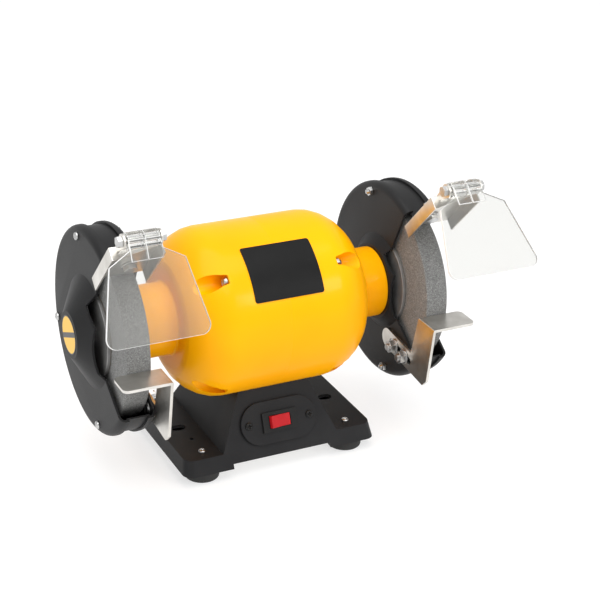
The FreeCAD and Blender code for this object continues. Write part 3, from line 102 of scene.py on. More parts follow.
def piece(name, work, material, body, slot, *nodes):
    """Makes a finished mesh a piece that rides on a body and stands for the named nodes."""
    mesh = bpy.data.meshes.new(name)
    work.to_mesh(mesh)
    work.free()
    mesh.shade_smooth()
    mesh.materials.append(material)
    thing = bpy.data.objects.new(name, mesh)
    bpy.context.scene.collection.objects.link(thing)
    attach(thing, body)
    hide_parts(*nodes)
    return thing


def merged_copy(node):
    """A node's shape as one closed mesh with whole flat faces."""
    work = bmesh.new()
    source = frame["nodes"][node].data.copy()
    normals = source.attributes.get("custom_normal")
    if normals:
        source.attributes.remove(normals)
    work.from_mesh(source)
    bpy.data.meshes.remove(source)
    bmesh.ops.remove_doubles(work, verts=work.verts, dist=same_place)
    bmesh.ops.dissolve_limit(work, angle_limit=flat_angle, verts=work.verts, edges=work.edges)
    for edge in work.edges:
        edge.smooth = True
    return work


def round_edges(thing, width):
    """Rounds every edge of a piece that is sharper than the edge angle."""
    rounding = thing.modifiers.new("rounding", "BEVEL")
    rounding.width = width
    rounding.segments = edge_steps
    rounding.angle_limit = edge_angle
    rounding.harden_normals = True


def bevelled(work, edges, width, steps):
    """Rounds the given edges of a mesh."""
    bmesh.ops.bevel(work, geom=edges, offset=width, offset_type="OFFSET", segments=steps,
                    profile=0.5, affect="EDGES", clamp_overlap=True, material=-1)


def cleaned(work):
    """The same mesh without double points and faces of no area."""
    bmesh.ops.remove_doubles(work, verts=work.verts, dist=same_place)
    bmesh.ops.dissolve_degenerate(work, edges=work.edges, dist=same_place)
    return work


def softened(work, edges, width, steps):
    """The same shape with some of its edges rounded wider than the rest."""
    bevelled(work, edges, width, steps)
    return cleaned(work)


def skirt_corners(work):
    """The four slanted edges that run down the outside of the skirt from its top corners."""
    reach = max(abs(point.co.x) for point in work.verts)
    slanted = []
    for edge in work.edges:
        first, last = (point.co for point in edge.verts)
        at_end = min(abs(first.x), abs(last.x)) > skirt_share * reach
        if at_end and abs(first.z - last.z) > base_corner:
            slanted.append(edge)
    tops = [max(point.co.z for point in edge.verts) for edge in slanted]
    return [edge for edge, top in zip(slanted, tops) if top > max(tops) - same_place]


base_paint = surface("base_paint", base_black, base_grey, cloud=30, grain=1400, depth=0.00004,
                     roughness=(0.42, 0.52), Specular_IOR_Level=0.2)
casting = merged_copy("base_housing")
softened(casting, skirt_corners(casting), base_corner, base_corner_steps)
base = piece("base_casting", casting, base_paint, "frame", "base_paint", "base_housing")
round_edges(base, base_edge)

# Bottom plate and what lies in the base
# A zinc plated sheet closes the base from below. It carries the motor's capacitor in a strap, and a
# plastic gland in the back panel leads the cable in.
zinc_dark = (0.55, 0.53, 0.49, 1)
zinc_light = (0.74, 0.72, 0.68, 1)
steel_dark = (0.42, 0.42, 0.42, 1)
steel_light = (0.62, 0.62, 0.61, 1)
can_dark = (0.20, 0.21, 0.22, 1)
can_light = (0.27, 0.28, 0.29, 1)
plastic_black = (0.006, 0.006, 0.006, 1)
plastic_grey = (0.010, 0.010, 0.010, 1)
gland_edge = 0.0006


def dress(material, *nodes):
    """Gives nodes that stay as they are a finish of their own."""
    for node in nodes:
        frame["nodes"][node].material_slots[0].material = material


def rounded_node(name, node, material, body, slot, edge):
    """A node's own shape as a piece with its sharp edges rounded."""
    round_edges(piece(name, merged_copy(node), material, body, slot, node), edge)


zinc = surface("zinc_plating", zinc_dark, zinc_light, cloud=60, grain=900, depth=0.00003,
               roughness=(0.24, 0.42), Metallic=1.0)
bright_steel = surface("bright_steel", steel_dark, steel_light, cloud=90, grain=1500, depth=0.00002,
                       roughness=(0.22, 0.38), Metallic=1.0)
can_film = surface("capacitor_film", can_dark, can_light, cloud=40, grain=800, depth=0.00002,
                   roughness=(0.35, 0.45))
black_plastic = surface("black_plastic", plastic_black, plastic_grey, cloud=80, grain=2200,
                        depth=0.00003, roughness=(0.35, 0.45), Specular_IOR_Level=0.25)
dress(zinc, "base_bottom_plate", "capacitor_strap")
dress(bright_steel, "capacitor_strap_screws", "motor_base_screws")
dress(can_film, "capacitor")
rounded_node("lead_gland", "cable_gland", black_plastic, "frame", "black_plastic", gland_edge)

# Rubber feet and their screws
# Four turned rubber feet have a collar that sits inside the skirt. A cross-head screw from above and
# a nut in the foot's recess clamp each one to the base.
foot_low, foot_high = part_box("rubber_feet")
foot_radius = 0.015
foot_neck = 0.0132
foot_collar = 0.0045
foot_top = foot_high.z
foot_step = foot_top - foot_collar
foot_recess_radius = 0.006
foot_recess_depth = 0.008
foot_hole = 0.0025
foot_round = 0.0018
foot_edge = 0.0006
foot_turns = 64
foot_x = foot_high.x - foot_radius
foot_middle = (foot_low.y + foot_high.y) / 2
foot_y = foot_high.y - foot_radius - foot_middle
foot_places = [(x, foot_middle + y) for x in (-foot_x, foot_x) for y in (-foot_y, foot_y)]
foot_screw_head_radius = 0.0032
foot_screw_head = 0.0018
screw_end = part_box("foot_screws")[0].z
flange_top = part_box("foot_screws")[1].z - foot_screw_head
screw_turns = 32
head_round_share = 0.8
recess_reach_share = 0.58
recess_width_share = 0.13
recess_depth_share = 0.6
corner_steps = 5
flat_weight = 100
rubber_dark = (0.011, 0.011, 0.011, 1)
rubber_grey = (0.020, 0.020, 0.019, 1)
X, Y, Z = Vector((1, 0, 0)), Vector((0, 1, 0)), Vector((0, 0, 1))
number_line = Vector((0.613, 0.731, 0.299))


def in_order(work):
    """The same mesh, numbered along a slanted line, so that every run gives the same order."""
    work.verts.sort(key=lambda point: point.co.dot(number_line))
    work.edges.sort(key=lambda edge: (edge.verts[0].co + edge.verts[1].co).dot(number_line))
    work.faces.sort(key=lambda face: face.calc_center_median().dot(number_line))
    return work


def spun(corners, centre, along, outwards, turns):
    """Turns an outline about an axis. Each corner is a place along it, a radius and a rounding."""
    work = bmesh.new()
    wire = [work.verts.new(centre + along * place + outwards * radius) for place, radius, _ in corners]
    for start, end in zip(wire, wire[1:]):
        work.edges.new((start, end))
    if min(radius for _, radius, _ in corners) > 0:
        work.edges.new((wire[-1], wire[0]))
    for vertex, (_, _, rounding) in zip(wire, corners):
        if rounding:
            bmesh.ops.bevel(work, geom=[vertex], offset=rounding, offset_type="OFFSET",
                            segments=corner_steps, profile=0.5, affect="VERTICES", material=-1)
    outline = work.verts[:] + work.edges[:]
    bmesh.ops.spin(work, geom=outline, cent=centre, axis=along, angle=math.tau, steps=turns,
                   use_merge=True)
    bmesh.ops.remove_doubles(work, verts=work.verts, dist=same_place)
    bmesh.ops.recalc_face_normals(work, faces=work.faces)
    return in_order(work)


def even_shading(thing):
    """Keeps wide faces flat beside their rounded edges."""
    shading = thing.modifiers.new("even_shading", "WEIGHTED_NORMAL")
    shading.weight = flat_weight


def repeated(work, places):
    """The same shape at every place, as one mesh."""
    shape = bpy.data.meshes.new("shape")
    work.to_mesh(shape)
    work.clear()
    for place in places:
        moved = shape.copy()
        moved.transform(place)
        if place.determinant() < 0:
            moved.flip_normals()
        work.from_mesh(moved)
        bpy.data.meshes.remove(moved)
    bpy.data.meshes.remove(shape)
    return work


def carved(work, tool):
    """The first shape with the second cut out of it."""
    things = []
    for part in (work, tool):
        mesh = bpy.data.meshes.new("carving")
        part.to_mesh(mesh)
        part.free()
        thing = bpy.data.objects.new("carving", mesh)
        bpy.context.scene.collection.objects.link(thing)
        things.append(thing)
    cutting = things[0].modifiers.new("carving", "BOOLEAN")
    cutting.operation = "DIFFERENCE"
    cutting.solver = "EXACT"
    cutting.object = things[1]
    evaluated = things[0].evaluated_get(bpy.context.evaluated_depsgraph_get())
    result = bmesh.new()
    result.from_mesh(evaluated.to_mesh())
    evaluated.to_mesh_clear()
    for thing in things:
        bpy.data.meshes.remove(thing.data)
    return cleaned(result)


def cross_head(radius, length, head_radius, head):
    """A pan-head screw with a cross recess, standing on Z = 0 with its shank downwards."""
    screw = spun([
        (-length, 0, 0),
        (-length, radius, 0),
        (0, radius, 0),
        (0, head_radius, 0),
        (head, head_radius, head_round_share * head),
        (head, 0, 0),
    ], Vector(), Z, X, screw_turns)
    arm = recess_reach_share * head_radius
    width = recess_width_share * head_radius
    depth = recess_depth_share * head
    quarter = [Vector((arm, width)), Vector((width, width)), Vector((width, arm))]
    quarter_turns = [Matrix.Rotation(turn * math.pi / 2, 2) for turn in range(4)]
    outline = [turn @ corner for turn in quarter_turns for corner in quarter]
    cross = bmesh.new()
    bottom = cross.faces.new([cross.verts.new((*corner, head - depth)) for corner in outline])
    raised = bmesh.ops.extrude_face_region(cross, geom=[bottom])["geom"]
    points = [part for part in raised if isinstance(part, bmesh.types.BMVert)]
    bmesh.ops.translate(cross, verts=points, vec=Z * 2 * depth)
    bmesh.ops.recalc_face_normals(cross, faces=cross.faces)
    return carved(screw, in_order(cross))


rubber = surface("foot_rubber", rubber_dark, rubber_grey, cloud=60, grain=700, depth=0.00006,
                 roughness=(0.62, 0.8))
foot = spun([
    (foot_recess_depth, foot_hole, 0),
    (foot_recess_depth, foot_recess_radius, 0),
    (0, foot_recess_radius, foot_edge),
    (0, foot_radius, foot_round),
    (foot_step, foot_radius, foot_round),
    (foot_step, foot_neck, 0),
    (foot_top, foot_neck, foot_edge),
    (foot_top, foot_hole, 0),
], Vector(), Z, X, foot_turns)
feet = repeated(foot, [Matrix.Translation((x, y, 0)) for x, y in foot_places])
even_shading(piece("moulded_feet", feet, rubber, "frame", "rubber", "rubber_feet"))
foot_screws = repeated(
    cross_head(foot_hole, flange_top - screw_end, foot_screw_head_radius, foot_screw_head),
    [Matrix.Translation((x, y, flange_top)) for x, y in foot_places],
)
piece("foot_cross_screws", foot_screws, bright_steel, "frame", "fastener_steel", "foot_screws")
dress(bright_steel, "foot_nuts")

# Switch
# A round-ended plate is screwed to the sloped front panel. A black bezel stands in it, with a red
# rocker that tips on two pins.
rocker_red = (0.42, 0.006, 0.010, 1)
rocker_bright = (0.47, 0.009, 0.014, 1)
switch_plate_edge = 0.0009
bezel_edge = 0.0006
rocker_edge = 0.0005
panel_tilt = math.radians(22.6)
panel_screw_radius = 0.00175
panel_screw_length = 0.0108
panel_screw_head_radius = 0.0034
panel_screw_head = 0.0016
panel_screw_x = 0.0285
plate_sheet = 0.0028
rocker_out = 0.0027
panel_out = Vector((0, -math.cos(panel_tilt), math.sin(panel_tilt)))
joint_places = {joint["name"]: Vector(joint["pos_m"]) for joint in frame["joints"] if "pos_m" in joint}
panel_switch = joint_places["rocker_tip"] - panel_out * rocker_out


def facing(place, direction):
    """A place whose own Z axis points in the given direction."""
    return Matrix.Translation(place) @ direction.to_track_quat("Z", "Y").to_matrix().to_4x4()


red_plastic = surface("red_plastic", rocker_red, rocker_bright, cloud=200, grain=1800, depth=0.00001,
                      roughness=(0.25, 0.35), Specular_IOR_Level=0.3)
rounded_node("switch_face_plate", "switch_plate", base_paint, "frame", "black_plastic",
             switch_plate_edge)
rounded_node("switch_bezel", "switch_body", black_plastic, "frame", "black_plastic", bezel_edge)
rounded_node("red_rocker", "switch_rocker", red_plastic, "rocker", "red_plastic", rocker_edge)
panel_front = panel_switch + panel_out * plate_sheet
panel_screws = repeated(
    cross_head(panel_screw_radius, panel_screw_length, panel_screw_head_radius, panel_screw_head),
    [facing(panel_front + X * x, panel_out) for x in (-panel_screw_x, panel_screw_x)],
)
piece("switch_cross_screws", panel_screws, black_plastic, "frame", "black_plastic",
      "switch_plate_screws")

# Motor casing
# Two cast end bells, painted glossy yellow, meet in the middle of the motor. Each has a round
# shoulder with four pockets for the through bolts, and a neck that holds the bearing and the guard.
shaft = joint_places["rotor_spin"]
casing_radius = 0.073
casing_wall = 0.004
casing_straight = 0.043
casing_end = 0.084
casing_inside_end = casing_end - casing_wall
casing_turns = 160
hollow_turns = 64
shoulder_radius = 0.0444
shoulder_middle = casing_radius - shoulder_radius
shoulder_trim = 0.004
shoulder_edge = 0.0036
neck_radius = 0.031
neck_end = 0.113
neck_bore = 0.020
neck_fillet = 0.002
neck_edge = 0.001
bearing_seat_start = 0.0975
bearing_seat_end = 0.1085
bearing_seat_radius = 0.0175
shaft_hole = 0.010
cut_beyond = 0.001
pocket_circle = 0.066
pocket_floor = 0.049
pocket_radius = 0.0075
pocket_turns = 48
pocket_rim = 0.0009
pocket_rim_merge = 0.7 * pocket_rim
boss_radius = 0.010
case_bolt_radius = 0.0025
case_bolt_length = 0.104
case_bolt_head_radius = 0.0045
case_bolt_head = 0.004
bolt_hole_turns = 16
yellow_deep = (0.96, 0.395, 0.0, 1)
yellow_light = (1.0, 0.445, 0.0, 1)
case_angles = [math.radians(angle) for angle in (45, 135, 225, 315)]
case_bolts = [shaft + (Y * math.cos(angle) + Z * math.sin(angle)) * pocket_circle for angle in case_angles]


def shoulder_corner(radius, end):
    """The corner of the straight wall and the shoulder's end tangent, and its rounding."""
    swing = math.asin((end - casing_straight) / radius)
    rounding = radius * math.tan(swing / 2)
    wall = shoulder_middle + radius
    low = shoulder_middle + radius * math.cos(swing)
    return (casing_straight + rounding, wall), rounding, low


def rods(radius, start, end, turns):
    """A round rod along X at each of the four through bolts."""
    rod = bmesh.new()
    along = Matrix.Rotation(math.pi / 2, 4, "Y")
    bmesh.ops.create_cone(rod, cap_ends=True, segments=turns, radius1=radius, radius2=radius,
                          depth=end - start, matrix=Matrix.Translation(X * (start + end) / 2) @ along)
    return repeated(rod, [Matrix.Translation(place) for place in case_bolts])


def in_pocket(edge):
    """Whether an edge is one of the sharp ones of a bolt pocket."""
    if not edge.is_manifold or edge.calc_face_angle() < edge_angle:
        return False
    middle = (edge.verts[0].co + edge.verts[1].co) / 2
    if middle.x < pocket_floor - same_place:
        return False
    gaps = [((middle - place) - X * (middle - place).x).length for place in case_bolts]
    return min(gaps) < pocket_radius + same_place


def casing():
    """One end bell, on the right."""
    corner, rounding, low = shoulder_corner(shoulder_radius, casing_end)
    outside = spun([
        (0, 0, 0),
        (0, casing_radius, 0),
        (*corner, rounding - shoulder_trim),
        (casing_end, low, shoulder_edge),
        (casing_end, neck_radius, neck_fillet),
        (neck_end, neck_radius, neck_edge),
        (neck_end, 0, 0),
    ], shaft, X, Z, casing_turns)
    shell = carved(outside, rods(pocket_radius, pocket_floor, casing_end, pocket_turns))
    rims = [edge for edge in shell.edges if in_pocket(edge)]
    points = list(dict.fromkeys(point for edge in rims for point in edge.verts))
    bmesh.ops.remove_doubles(shell, verts=points, dist=pocket_rim_merge)
    rims = [edge for edge in shell.edges if in_pocket(edge)]
    bevelled(shell, rims, pocket_rim, edge_steps)
    corner, rounding, low = shoulder_corner(shoulder_radius - casing_wall, casing_inside_end)
    hollow = spun([
        (-cut_beyond, 0, 0),
        (-cut_beyond, corner[1], 0),
        (*corner, rounding),
        (casing_inside_end, low, 0),
        (casing_inside_end, neck_bore, 0),
        (bearing_seat_start, neck_bore, 0),
        (bearing_seat_start, bearing_seat_radius, 0),
        (bearing_seat_end, bearing_seat_radius, 0),
        (bearing_seat_end, shaft_hole, 0),
        (neck_end + cut_beyond, shaft_hole, 0),
        (neck_end + cut_beyond, 0, 0),
    ], shaft, X, Z, hollow_turns)
    bosses = rods(boss_radius, pocket_floor - casing_wall, casing_end, pocket_turns)
    shell = carved(shell, carved(hollow, bosses))
    holes = rods(case_bolt_radius, -cut_beyond, pocket_floor + cut_beyond, bolt_hole_turns)
    return carved(shell, holes)


yellow = surface("yellow_enamel", yellow_deep, yellow_light, cloud=14, grain=420, depth=0.00002,
                 roughness=(0.32, 0.4), Coat_Weight=0.12, Coat_Roughness=0.15, Specular_IOR_Level=0.06)
bell = casing()
for edge in bell.edges:
    edge.smooth = not edge.is_manifold or edge.calc_face_angle() < edge_angle
for side, sign in (("right", 1), ("left", -1)):
    half = repeated(bell.copy(), [Matrix.Diagonal((sign, 1, 1, 1))])
    even_shading(piece(f"{side}_casing", half, yellow, "frame", "yellow_paint", f"{side}_end_bell"))
bell.free()
case_screws = repeated(
    cross_head(case_bolt_radius, case_bolt_length, case_bolt_head_radius, case_bolt_head),
    [facing(place - X * pocket_floor, -X) for place in case_bolts],
)
piece("casing_cross_bolts", case_screws, bright_steel, "frame", "fastener_steel", "motor_through_bolts")

# Motor inside
# Laminated cores, copper windings and ball bearings lie inside the casing, with the shaft through
# them. None of this shows until the casing is taken off.
core_dark = (0.16, 0.16, 0.17, 1)
core_light = (0.24, 0.24, 0.25, 1)
copper_dark = (0.42, 0.15, 0.06, 1)
copper_light = (0.60, 0.25, 0.11, 1)
nut_edge = 0.0004
core_steel = surface("core_laminations", core_dark, core_light, cloud=120, grain=1200, depth=0.00004,
                     roughness=(0.4, 0.55), Metallic=0.9)
copper = surface("winding_copper", copper_dark, copper_light, cloud=300, grain=1500, depth=0.0001,
                 roughness=(0.3, 0.45), Metallic=0.9)
dress(core_steel, "stator_core", "rotor_core")
dress(copper, "stator_windings")
dress(bright_steel, "rotor_shaft", "bearing_outer_rings", "bearing_inner_rings", "bearing_balls")
rounded_node("casing_nuts", "motor_through_nuts", bright_steel, "frame", "fastener_steel", nut_edge)

# Rating plate
# A thin metal plate with a satin black film, bent to the round of the casing and stuck to it. Its
# corners are rounded and its face is bare.
plate_black = (0.003, 0.003, 0.003, 1)
plate_grey = (0.005, 0.005, 0.005, 1)
plate_corner = 0.0025
plate_corner_steps = 4
plate_thin = 0.0007
plate_edge = 0.00025
plate_film = surface("plate_film", plate_black, plate_grey, cloud=50, grain=1600, depth=0.00001,
                     roughness=(0.42, 0.5), Specular_IOR_Level=0.16)
bent_plate = merged_copy("rating_plate")
short_edges = [edge for edge in bent_plate.edges if edge.calc_length() < plate_thin]
softened(bent_plate, short_edges, plate_corner, plate_corner_steps)
rating = piece("bare_rating_plate", bent_plate, plate_film, "frame", "plate_film", "rating_plate")
round_edges(rating, plate_edge)

# Guards
# Each guard is two pressed steel discs with rolled lips and a band between them, powder coated black.
# Three long screws hold the guard together, and three short ones hold it on the motor's neck.
guard_black = (0.013, 0.013, 0.0135, 1)
guard_grey = (0.018, 0.018, 0.0185, 1)
guard_edge = 0.0006
guard_face = 0.1516
guard_bolt_radius = 0.002
guard_bolt_length = 0.0369
guard_bolt_head_radius = 0.0035
guard_bolt_head = 0.0024
guard_bolt_circle = 0.0794
guard_bolt_angles = [math.radians(angle) for angle in (105, 195, 285)]
guard_paint = surface("guard_powder_coat", guard_black, guard_grey, cloud=25, grain=1100,
                      depth=0.00006, roughness=(0.42, 0.52), Specular_IOR_Level=0.16)
for side in ("left", "right"):
    for part, name in (("pan", "inner_disc"), ("cover", "outer_disc"), ("band", "rim_band")):
        rounded_node(f"{side}_guard_{name}", f"{side}_guard_{part}", guard_paint, "frame",
                     "black_paint", guard_edge)
guard_bolts = []
for sign in (-1, 1):
    for angle in guard_bolt_angles:
        place = shaft + (Z * math.sin(angle) - Y * math.cos(angle)) * guard_bolt_circle
        guard_bolts.append(facing(place + X * sign * guard_face, X * sign))
guard_screws = repeated(
    cross_head(guard_bolt_radius, guard_bolt_length, guard_bolt_head_radius, guard_bolt_head),
    guard_bolts,
)
piece("guard_cross_screws", guard_screws, bright_steel, "frame", "fastener_steel", "guard_bolts")
rounded_node("guard_hex_nuts", "guard_nuts", bright_steel, "frame", "fastener_steel", nut_edge)
dress(bright_steel, "guard_neck_screws")

# Guard labels
# A thin disc of yellow film is stuck on the cone of each guard. It has a dark edge, and one plain dark
# band across its middle.
label_yellow = (0.90, 0.50, 0.01, 1)
label_black = (0.012, 0.012, 0.012, 1)
label_edge = 0.0155
label_band = 0.0022
label_turn = math.radians(-24)
label_roughness = 0.35
across_shaft = (0, 1, 1)


def label_film():
    """Yellow film with a dark rim and a dark band, both measured from the shaft."""
    material = bpy.data.materials.new("label_film")
    material.use_nodes = True
    nodes, links = material.node_tree.nodes, material.node_tree.links
    shader = nodes["Principled BSDF"]
    shader.inputs["Roughness"].default_value = label_roughness
    place = nodes.new("ShaderNodeTexCoord")
    centred = nodes.new("ShaderNodeMapping")
    centred.vector_type = "TEXTURE"
    centred.inputs["Location"].default_value = shaft
    centred.inputs["Rotation"].default_value = (label_turn, 0, 0)
    flat = nodes.new("ShaderNodeVectorMath")
    flat.operation = "MULTIPLY"
    flat.inputs[1].default_value = across_shaft
    reach = nodes.new("ShaderNodeVectorMath")
    reach.operation = "LENGTH"
    rim = nodes.new("ShaderNodeMath")
    rim.operation = "GREATER_THAN"
    rim.inputs[1].default_value = label_edge
    parts = nodes.new("ShaderNodeSeparateXYZ")
    height = nodes.new("ShaderNodeMath")
    height.operation = "ABSOLUTE"
    band = nodes.new("ShaderNodeMath")
    band.operation = "LESS_THAN"
    band.inputs[1].default_value = label_band
    either = nodes.new("ShaderNodeMath")
    either.operation = "MAXIMUM"
    tones = nodes.new("ShaderNodeMix")
    tones.data_type = "RGBA"
    tones.inputs["A"].default_value = label_yellow
    tones.inputs["B"].default_value = label_black
    links.new(place.outputs["Object"], centred.inputs["Vector"])
    links.new(centred.outputs["Vector"], flat.inputs[0])
    links.new(flat.outputs["Vector"], reach.inputs[0])
    links.new(reach.outputs["Value"], rim.inputs[0])
    links.new(centred.outputs["Vector"], parts.inputs["Vector"])
    links.new(parts.outputs["Z"], height.inputs[0])
    links.new(height.outputs["Value"], band.inputs[0])
    links.new(rim.outputs["Value"], either.inputs[0])
    links.new(band.outputs["Value"], either.inputs[1])
    links.new(either.outputs["Value"], tones.inputs["Factor"])
    links.new(tones.outputs["Result"], shader.inputs["Base Color"])
    return material


dress(label_film(), "guard_labels")

# Grinding wheels
# Vitrified aluminium oxide wheels, grey and coarse, with a small chamfer on the rim. Card blotters
# and steel flanges clamp each one on the shaft with a hexagon nut.
wheel_low, wheel_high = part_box("right_wheel")
wheel_radius = (wheel_high.z - wheel_low.z) / 2
wheel_bore = 0.00635
wheel_chamfer = 0.0007
wheel_turns = 128
grain_size = 1700
grit_depth = 0.00015
grit_roughness = 0.92
grit_dark = (0.118, 0.118, 0.115, 1)
grit_middle = (0.194, 0.194, 0.189, 1)
grit_light = (0.302, 0.302, 0.294, 1)
grit_dark_share = 0.1
grit_middle_share = 0.5
grit_light_share = 0.9
card_dark = (0.33, 0.27, 0.18, 1)
card_light = (0.42, 0.35, 0.25, 1)
flange_dark = (0.24, 0.235, 0.23, 1)
flange_light = (0.34, 0.335, 0.33, 1)
flange_edge = 0.0005
wheel_nut_edge = 0.0008


def abrasive():
    """Grit of three tones, with each grain standing out or broken away."""
    material = bpy.data.materials.new("abrasive_grit")
    material.use_nodes = True
    nodes, links = material.node_tree.nodes, material.node_tree.links
    shader = nodes["Principled BSDF"]
    shader.inputs["Roughness"].default_value = grit_roughness
    place = nodes.new("ShaderNodeTexCoord")
    grains = nodes.new("ShaderNodeTexVoronoi")
    grains.inputs["Scale"].default_value = grain_size
    tones = nodes.new("ShaderNodeValToRGB")
    tones.color_ramp.elements[0].position = grit_dark_share
    tones.color_ramp.elements[0].color = grit_dark
    tones.color_ramp.elements[1].position = grit_light_share
    tones.color_ramp.elements[1].color = grit_light
    tones.color_ramp.elements.new(grit_middle_share).color = grit_middle
    bump = nodes.new("ShaderNodeBump")
    bump.inputs["Distance"].default_value = grit_depth
    links.new(place.outputs["Object"], grains.inputs["Vector"])
    links.new(grains.outputs["Color"], tones.inputs["Fac"])
    links.new(tones.outputs["Color"], shader.inputs["Base Color"])
    links.new(grains.outputs["Distance"], bump.inputs["Height"])
    links.new(bump.outputs["Normal"], shader.inputs["Normal"])
    return material


grit = abrasive()
for side, sign in (("right", 1), ("left", -1)):
    wheel = spun([
        (sign * wheel_low.x, wheel_bore, 0),
        (sign * wheel_low.x, wheel_radius, wheel_chamfer),
        (sign * wheel_high.x, wheel_radius, wheel_chamfer),
        (sign * wheel_high.x, wheel_bore, 0),
    ], shaft, X, Z, wheel_turns)
    even_shading(piece(f"{side}_grinding_wheel", wheel, grit, "rotor", "abrasive", f"{side}_wheel"))
card = surface("blotter_card", card_dark, card_light, cloud=150, grain=900, depth=0.00005,
               roughness=(0.8, 0.9))
dress(card, "wheel_blotters")
turned_steel = surface("turned_steel", flange_dark, flange_light, cloud=60, grain=1800, depth=0.00003,
                       roughness=(0.36, 0.48), Metallic=0.6)
for face in ("inner", "outer"):
    rounded_node(f"{face}_clamp_flanges", f"{face}_flanges", turned_steel, "rotor", "steel", flange_edge)
rounded_node("wheel_hex_nuts", "wheel_nuts", turned_steel, "rotor", "fastener_steel", wheel_nut_edge)

# Tool rests
# Each rest is one zinc plated steel plate, bent into a table in front of the wheel and a slotted arm.
# Two studs in the guard carry it, with washers and nuts that let it slide towards the wheel.
fold_radius = 0.0018
fold_steps = 4
wide_face = 0.0003
rest_edge = 0.0006
fixing_edge = 0.0003


def folds(work):
    """The outer edges of the bends, where two wide faces of the sheet meet."""
    found = []
    for edge in work.edges:
        wide = edge.is_manifold and min(face.calc_area() for face in edge.link_faces) > wide_face
        if wide and edge.calc_face_angle_signed() > edge_angle:
            found.append(edge)
    return found


def bent_sheet(name, node, body, edge):
    """A node of bent sheet as a zinc plated piece with round bends."""
    sheet = merged_copy(node)
    softened(sheet, folds(sheet), fold_radius, fold_steps)
    round_edges(piece(name, sheet, zinc, body, "zinc_plate", node), edge)


def fixings(body, edge, names):
    """Steel fasteners that ride on a body, each a node with its edges rounded."""
    for node, name in names.items():
        rounded_node(name, node, bright_steel, body, "fastener_steel", edge)


for side in ("left", "right"):
    bent_sheet(f"{side}_bent_rest", f"{side}_tool_rest", f"{side}_rest", rest_edge)
fixings("frame", fixing_edge, {
    "rest_studs": "rest_stud_bolts",
    "rest_washers": "rest_flat_washers",
    "rest_nuts": "rest_hex_nuts",
})

# Shield brackets
# A folded channel of zinc plated sheet slides under each guard's tab and is clamped by one bolt. Its
# two ears carry the hinge bolt of the eye shield.
bracket_edge = 0.0004
for side in ("left", "right"):
    bent_sheet(f"{side}_folded_bracket", f"{side}_shield_bracket", f"{side}_bracket", bracket_edge)
    fixings(f"{side}_bracket", fixing_edge, {
        f"{side}_hinge_bolt": f"{side}_hinge_pin",
        f"{side}_hinge_nut": f"{side}_hinge_hex_nut",
    })
fixings("frame", nut_edge, {
    "bracket_clamp_bolts": "clamp_hex_bolts",
    "bracket_clamp_washers": "clamp_washers",
    "bracket_clamp_nuts": "clamp_hex_nuts",
})

# Eye shields
# Clear moulded sheets that widen downwards, with two knuckles on the hinge bolt. The cut edges
# have an opaque near-white finish, a painted highlight that stands for light caught in the edges.
shield_edge = 0.0007
clear_tint = (0.82, 0.82, 0.80, 1)
clear_share = 0.93
clear_bend = 1.49
wear_size = 240
wear_polished = 0.01
wear_dull = 0.06
# Painted highlight: near-white opaque tones for the sheet's cut edges, so they look lit.
rim_highlight_dark = (0.80, 0.80, 0.79, 1)
rim_highlight_light = (0.88, 0.88, 0.87, 1)
rim_slope = 0.5
knuckle_room = 0.009
highlight_index = 1


def clear_sheet():
    """Clear plastic, faintly tinted, with fine wear in its gloss."""
    material = bpy.data.materials.new("clear_plastic")
    material.use_nodes = True
    nodes, links = material.node_tree.nodes, material.node_tree.links
    shader = nodes["Principled BSDF"]
    shader.inputs["Base Color"].default_value = clear_tint
    shader.inputs["Transmission Weight"].default_value = clear_share
    shader.inputs["IOR"].default_value = clear_bend
    place = nodes.new("ShaderNodeTexCoord")
    wear = nodes.new("ShaderNodeTexNoise")
    wear.inputs["Scale"].default_value = wear_size
    gloss = nodes.new("ShaderNodeMapRange")
    gloss.inputs["To Min"].default_value = wear_polished
    gloss.inputs["To Max"].default_value = wear_dull
    links.new(place.outputs["Object"], wear.inputs["Vector"])
    links.new(wear.outputs["Fac"], gloss.inputs["Value"])
    links.new(gloss.outputs["Result"], shader.inputs["Roughness"])
    return material


def highlight_rim(work, hinge):
    """Gives the narrow sides of the sheet, away from the hinge, the opaque painted highlight finish."""
    broad = max(work.faces, key=lambda face: face.calc_area()).normal
    for face in work.faces:
        reach = (face.calc_center_median() - hinge) * Vector(across_shaft)
        if abs(face.normal.dot(broad)) < rim_slope and reach.length > knuckle_room:
            face.material_index = highlight_index
    return work


clear = clear_sheet()
# The edge finish is a painted highlight, opaque and pale, not a property of the plastic.
edge_highlight = surface("painted_edge_highlight", rim_highlight_dark, rim_highlight_light, cloud=200, grain=900, depth=0.00002,
                  roughness=(0.3, 0.4))
for side in ("left", "right"):
    node = f"{side}_eye_shield"
    rimmed = highlight_rim(merged_copy(node), joint_places[f"{side}_shield_tilt"])
    sheet = piece(f"{side}_clear_shield", rimmed, clear, f"{side}_shield", "clear_plastic", node)
    sheet.data.materials.append(edge_highlight)
    round_edges(sheet, shield_edge)
    sheet.modifiers["rounding"].material = highlight_index

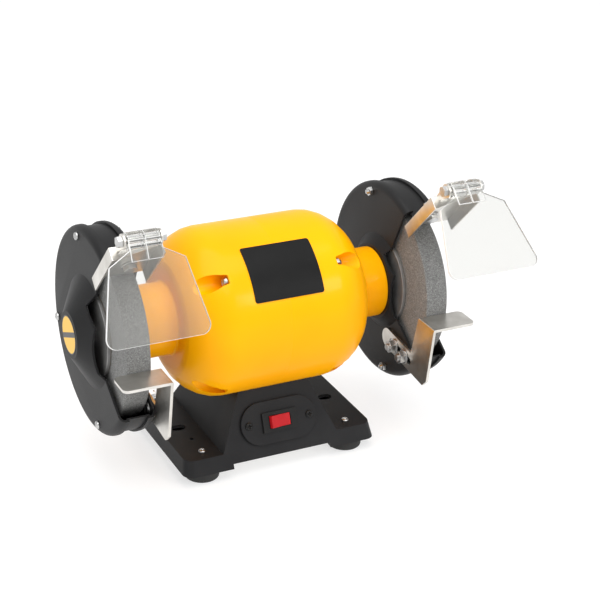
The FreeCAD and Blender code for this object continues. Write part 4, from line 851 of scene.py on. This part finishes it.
# Camera
# It stands at the photograph's viewpoint, a little left of the front, and looks down at the machine.
# A long lens and a slight roll give the photograph's frame.
eye = Vector((-0.53368, -1.08090, 0.71591))
target = Vector((0.03418, 0.01595, 0.13365))
roll = math.radians(2.16)
lens_length = 95.52
sensor_width = 36
forward = (target - eye).normalized()
right = forward.cross(Z).normalized()
up = right.cross(forward)
rolled_right = right * math.cos(roll) + up * math.sin(roll)
rolled_up = up * math.cos(roll) - right * math.sin(roll)
lens = bpy.data.cameras.new("camera")
lens.lens = lens_length
lens.sensor_width = sensor_width
camera = bpy.data.objects.new("camera", lens)
turned = Matrix((rolled_right, rolled_up, -forward)).transposed()
camera.matrix_world = Matrix.Translation(eye) @ turned.to_4x4()
bpy.context.scene.collection.objects.link(camera)
bpy.context.scene.camera = camera

# Studio
# A pale floor, a white room and three soft boxes: a wide one overhead, one from the left and one from
# the right of the camera that puts a small highlight on the casing.
floor_white = (0.4, 0.4, 0.4, 1)
floor_roughness = 0.7
glow_white = (1, 1, 1, 1)
floor_glow = 0.62
floor_size = 24
floor_drop = 0.0003
room_light = 0.75
soft_boxes = [
    {"place": Vector((-0.2, -0.3, 1.7)), "size": 1.8, "power": 27},
    {"place": Vector((-1.6, -0.9, 0.9)), "size": 0.9, "power": 2},
    {"place": Vector((0.9, -1.5, 1.1)), "size": 0.5, "power": 8},
]
boards = bmesh.new()
bmesh.ops.create_grid(boards, x_segments=1, y_segments=1, size=floor_size / 2,
                      matrix=Matrix.Translation((0, 0, -floor_drop)))
floor_mesh = bpy.data.meshes.new("floor")
boards.to_mesh(floor_mesh)
boards.free()
floor_paint = bpy.data.materials.new("floor_paint")
floor_paint.use_nodes = True
floor_shader = floor_paint.node_tree.nodes["Principled BSDF"]
floor_shader.inputs["Base Color"].default_value = floor_white
floor_shader.inputs["Roughness"].default_value = floor_roughness
floor_shader.inputs["Emission Color"].default_value = glow_white
floor_shader.inputs["Emission Strength"].default_value = floor_glow
floor_mesh.materials.append(floor_paint)
floor = bpy.data.objects.new("floor", floor_mesh)
bpy.context.scene.collection.objects.link(floor)
room = bpy.data.worlds.new("room")
room.use_nodes = True
room.node_tree.nodes["Background"].inputs["Color"].default_value = glow_white
room.node_tree.nodes["Background"].inputs["Strength"].default_value = room_light
bpy.context.scene.world = room
bpy.context.scene.view_settings.view_transform = "Standard"
for box in soft_boxes:
    light = bpy.data.lights.new("soft_box", "AREA")
    light.size = box["size"]
    light.energy = box["power"]
    lamp = bpy.data.objects.new("soft_box", light)
    lamp.location = box["place"]
    lamp.rotation_euler = (target - box["place"]).to_track_quat("-Z", "Y").to_euler()
    bpy.context.scene.collection.objects.link(lamp)
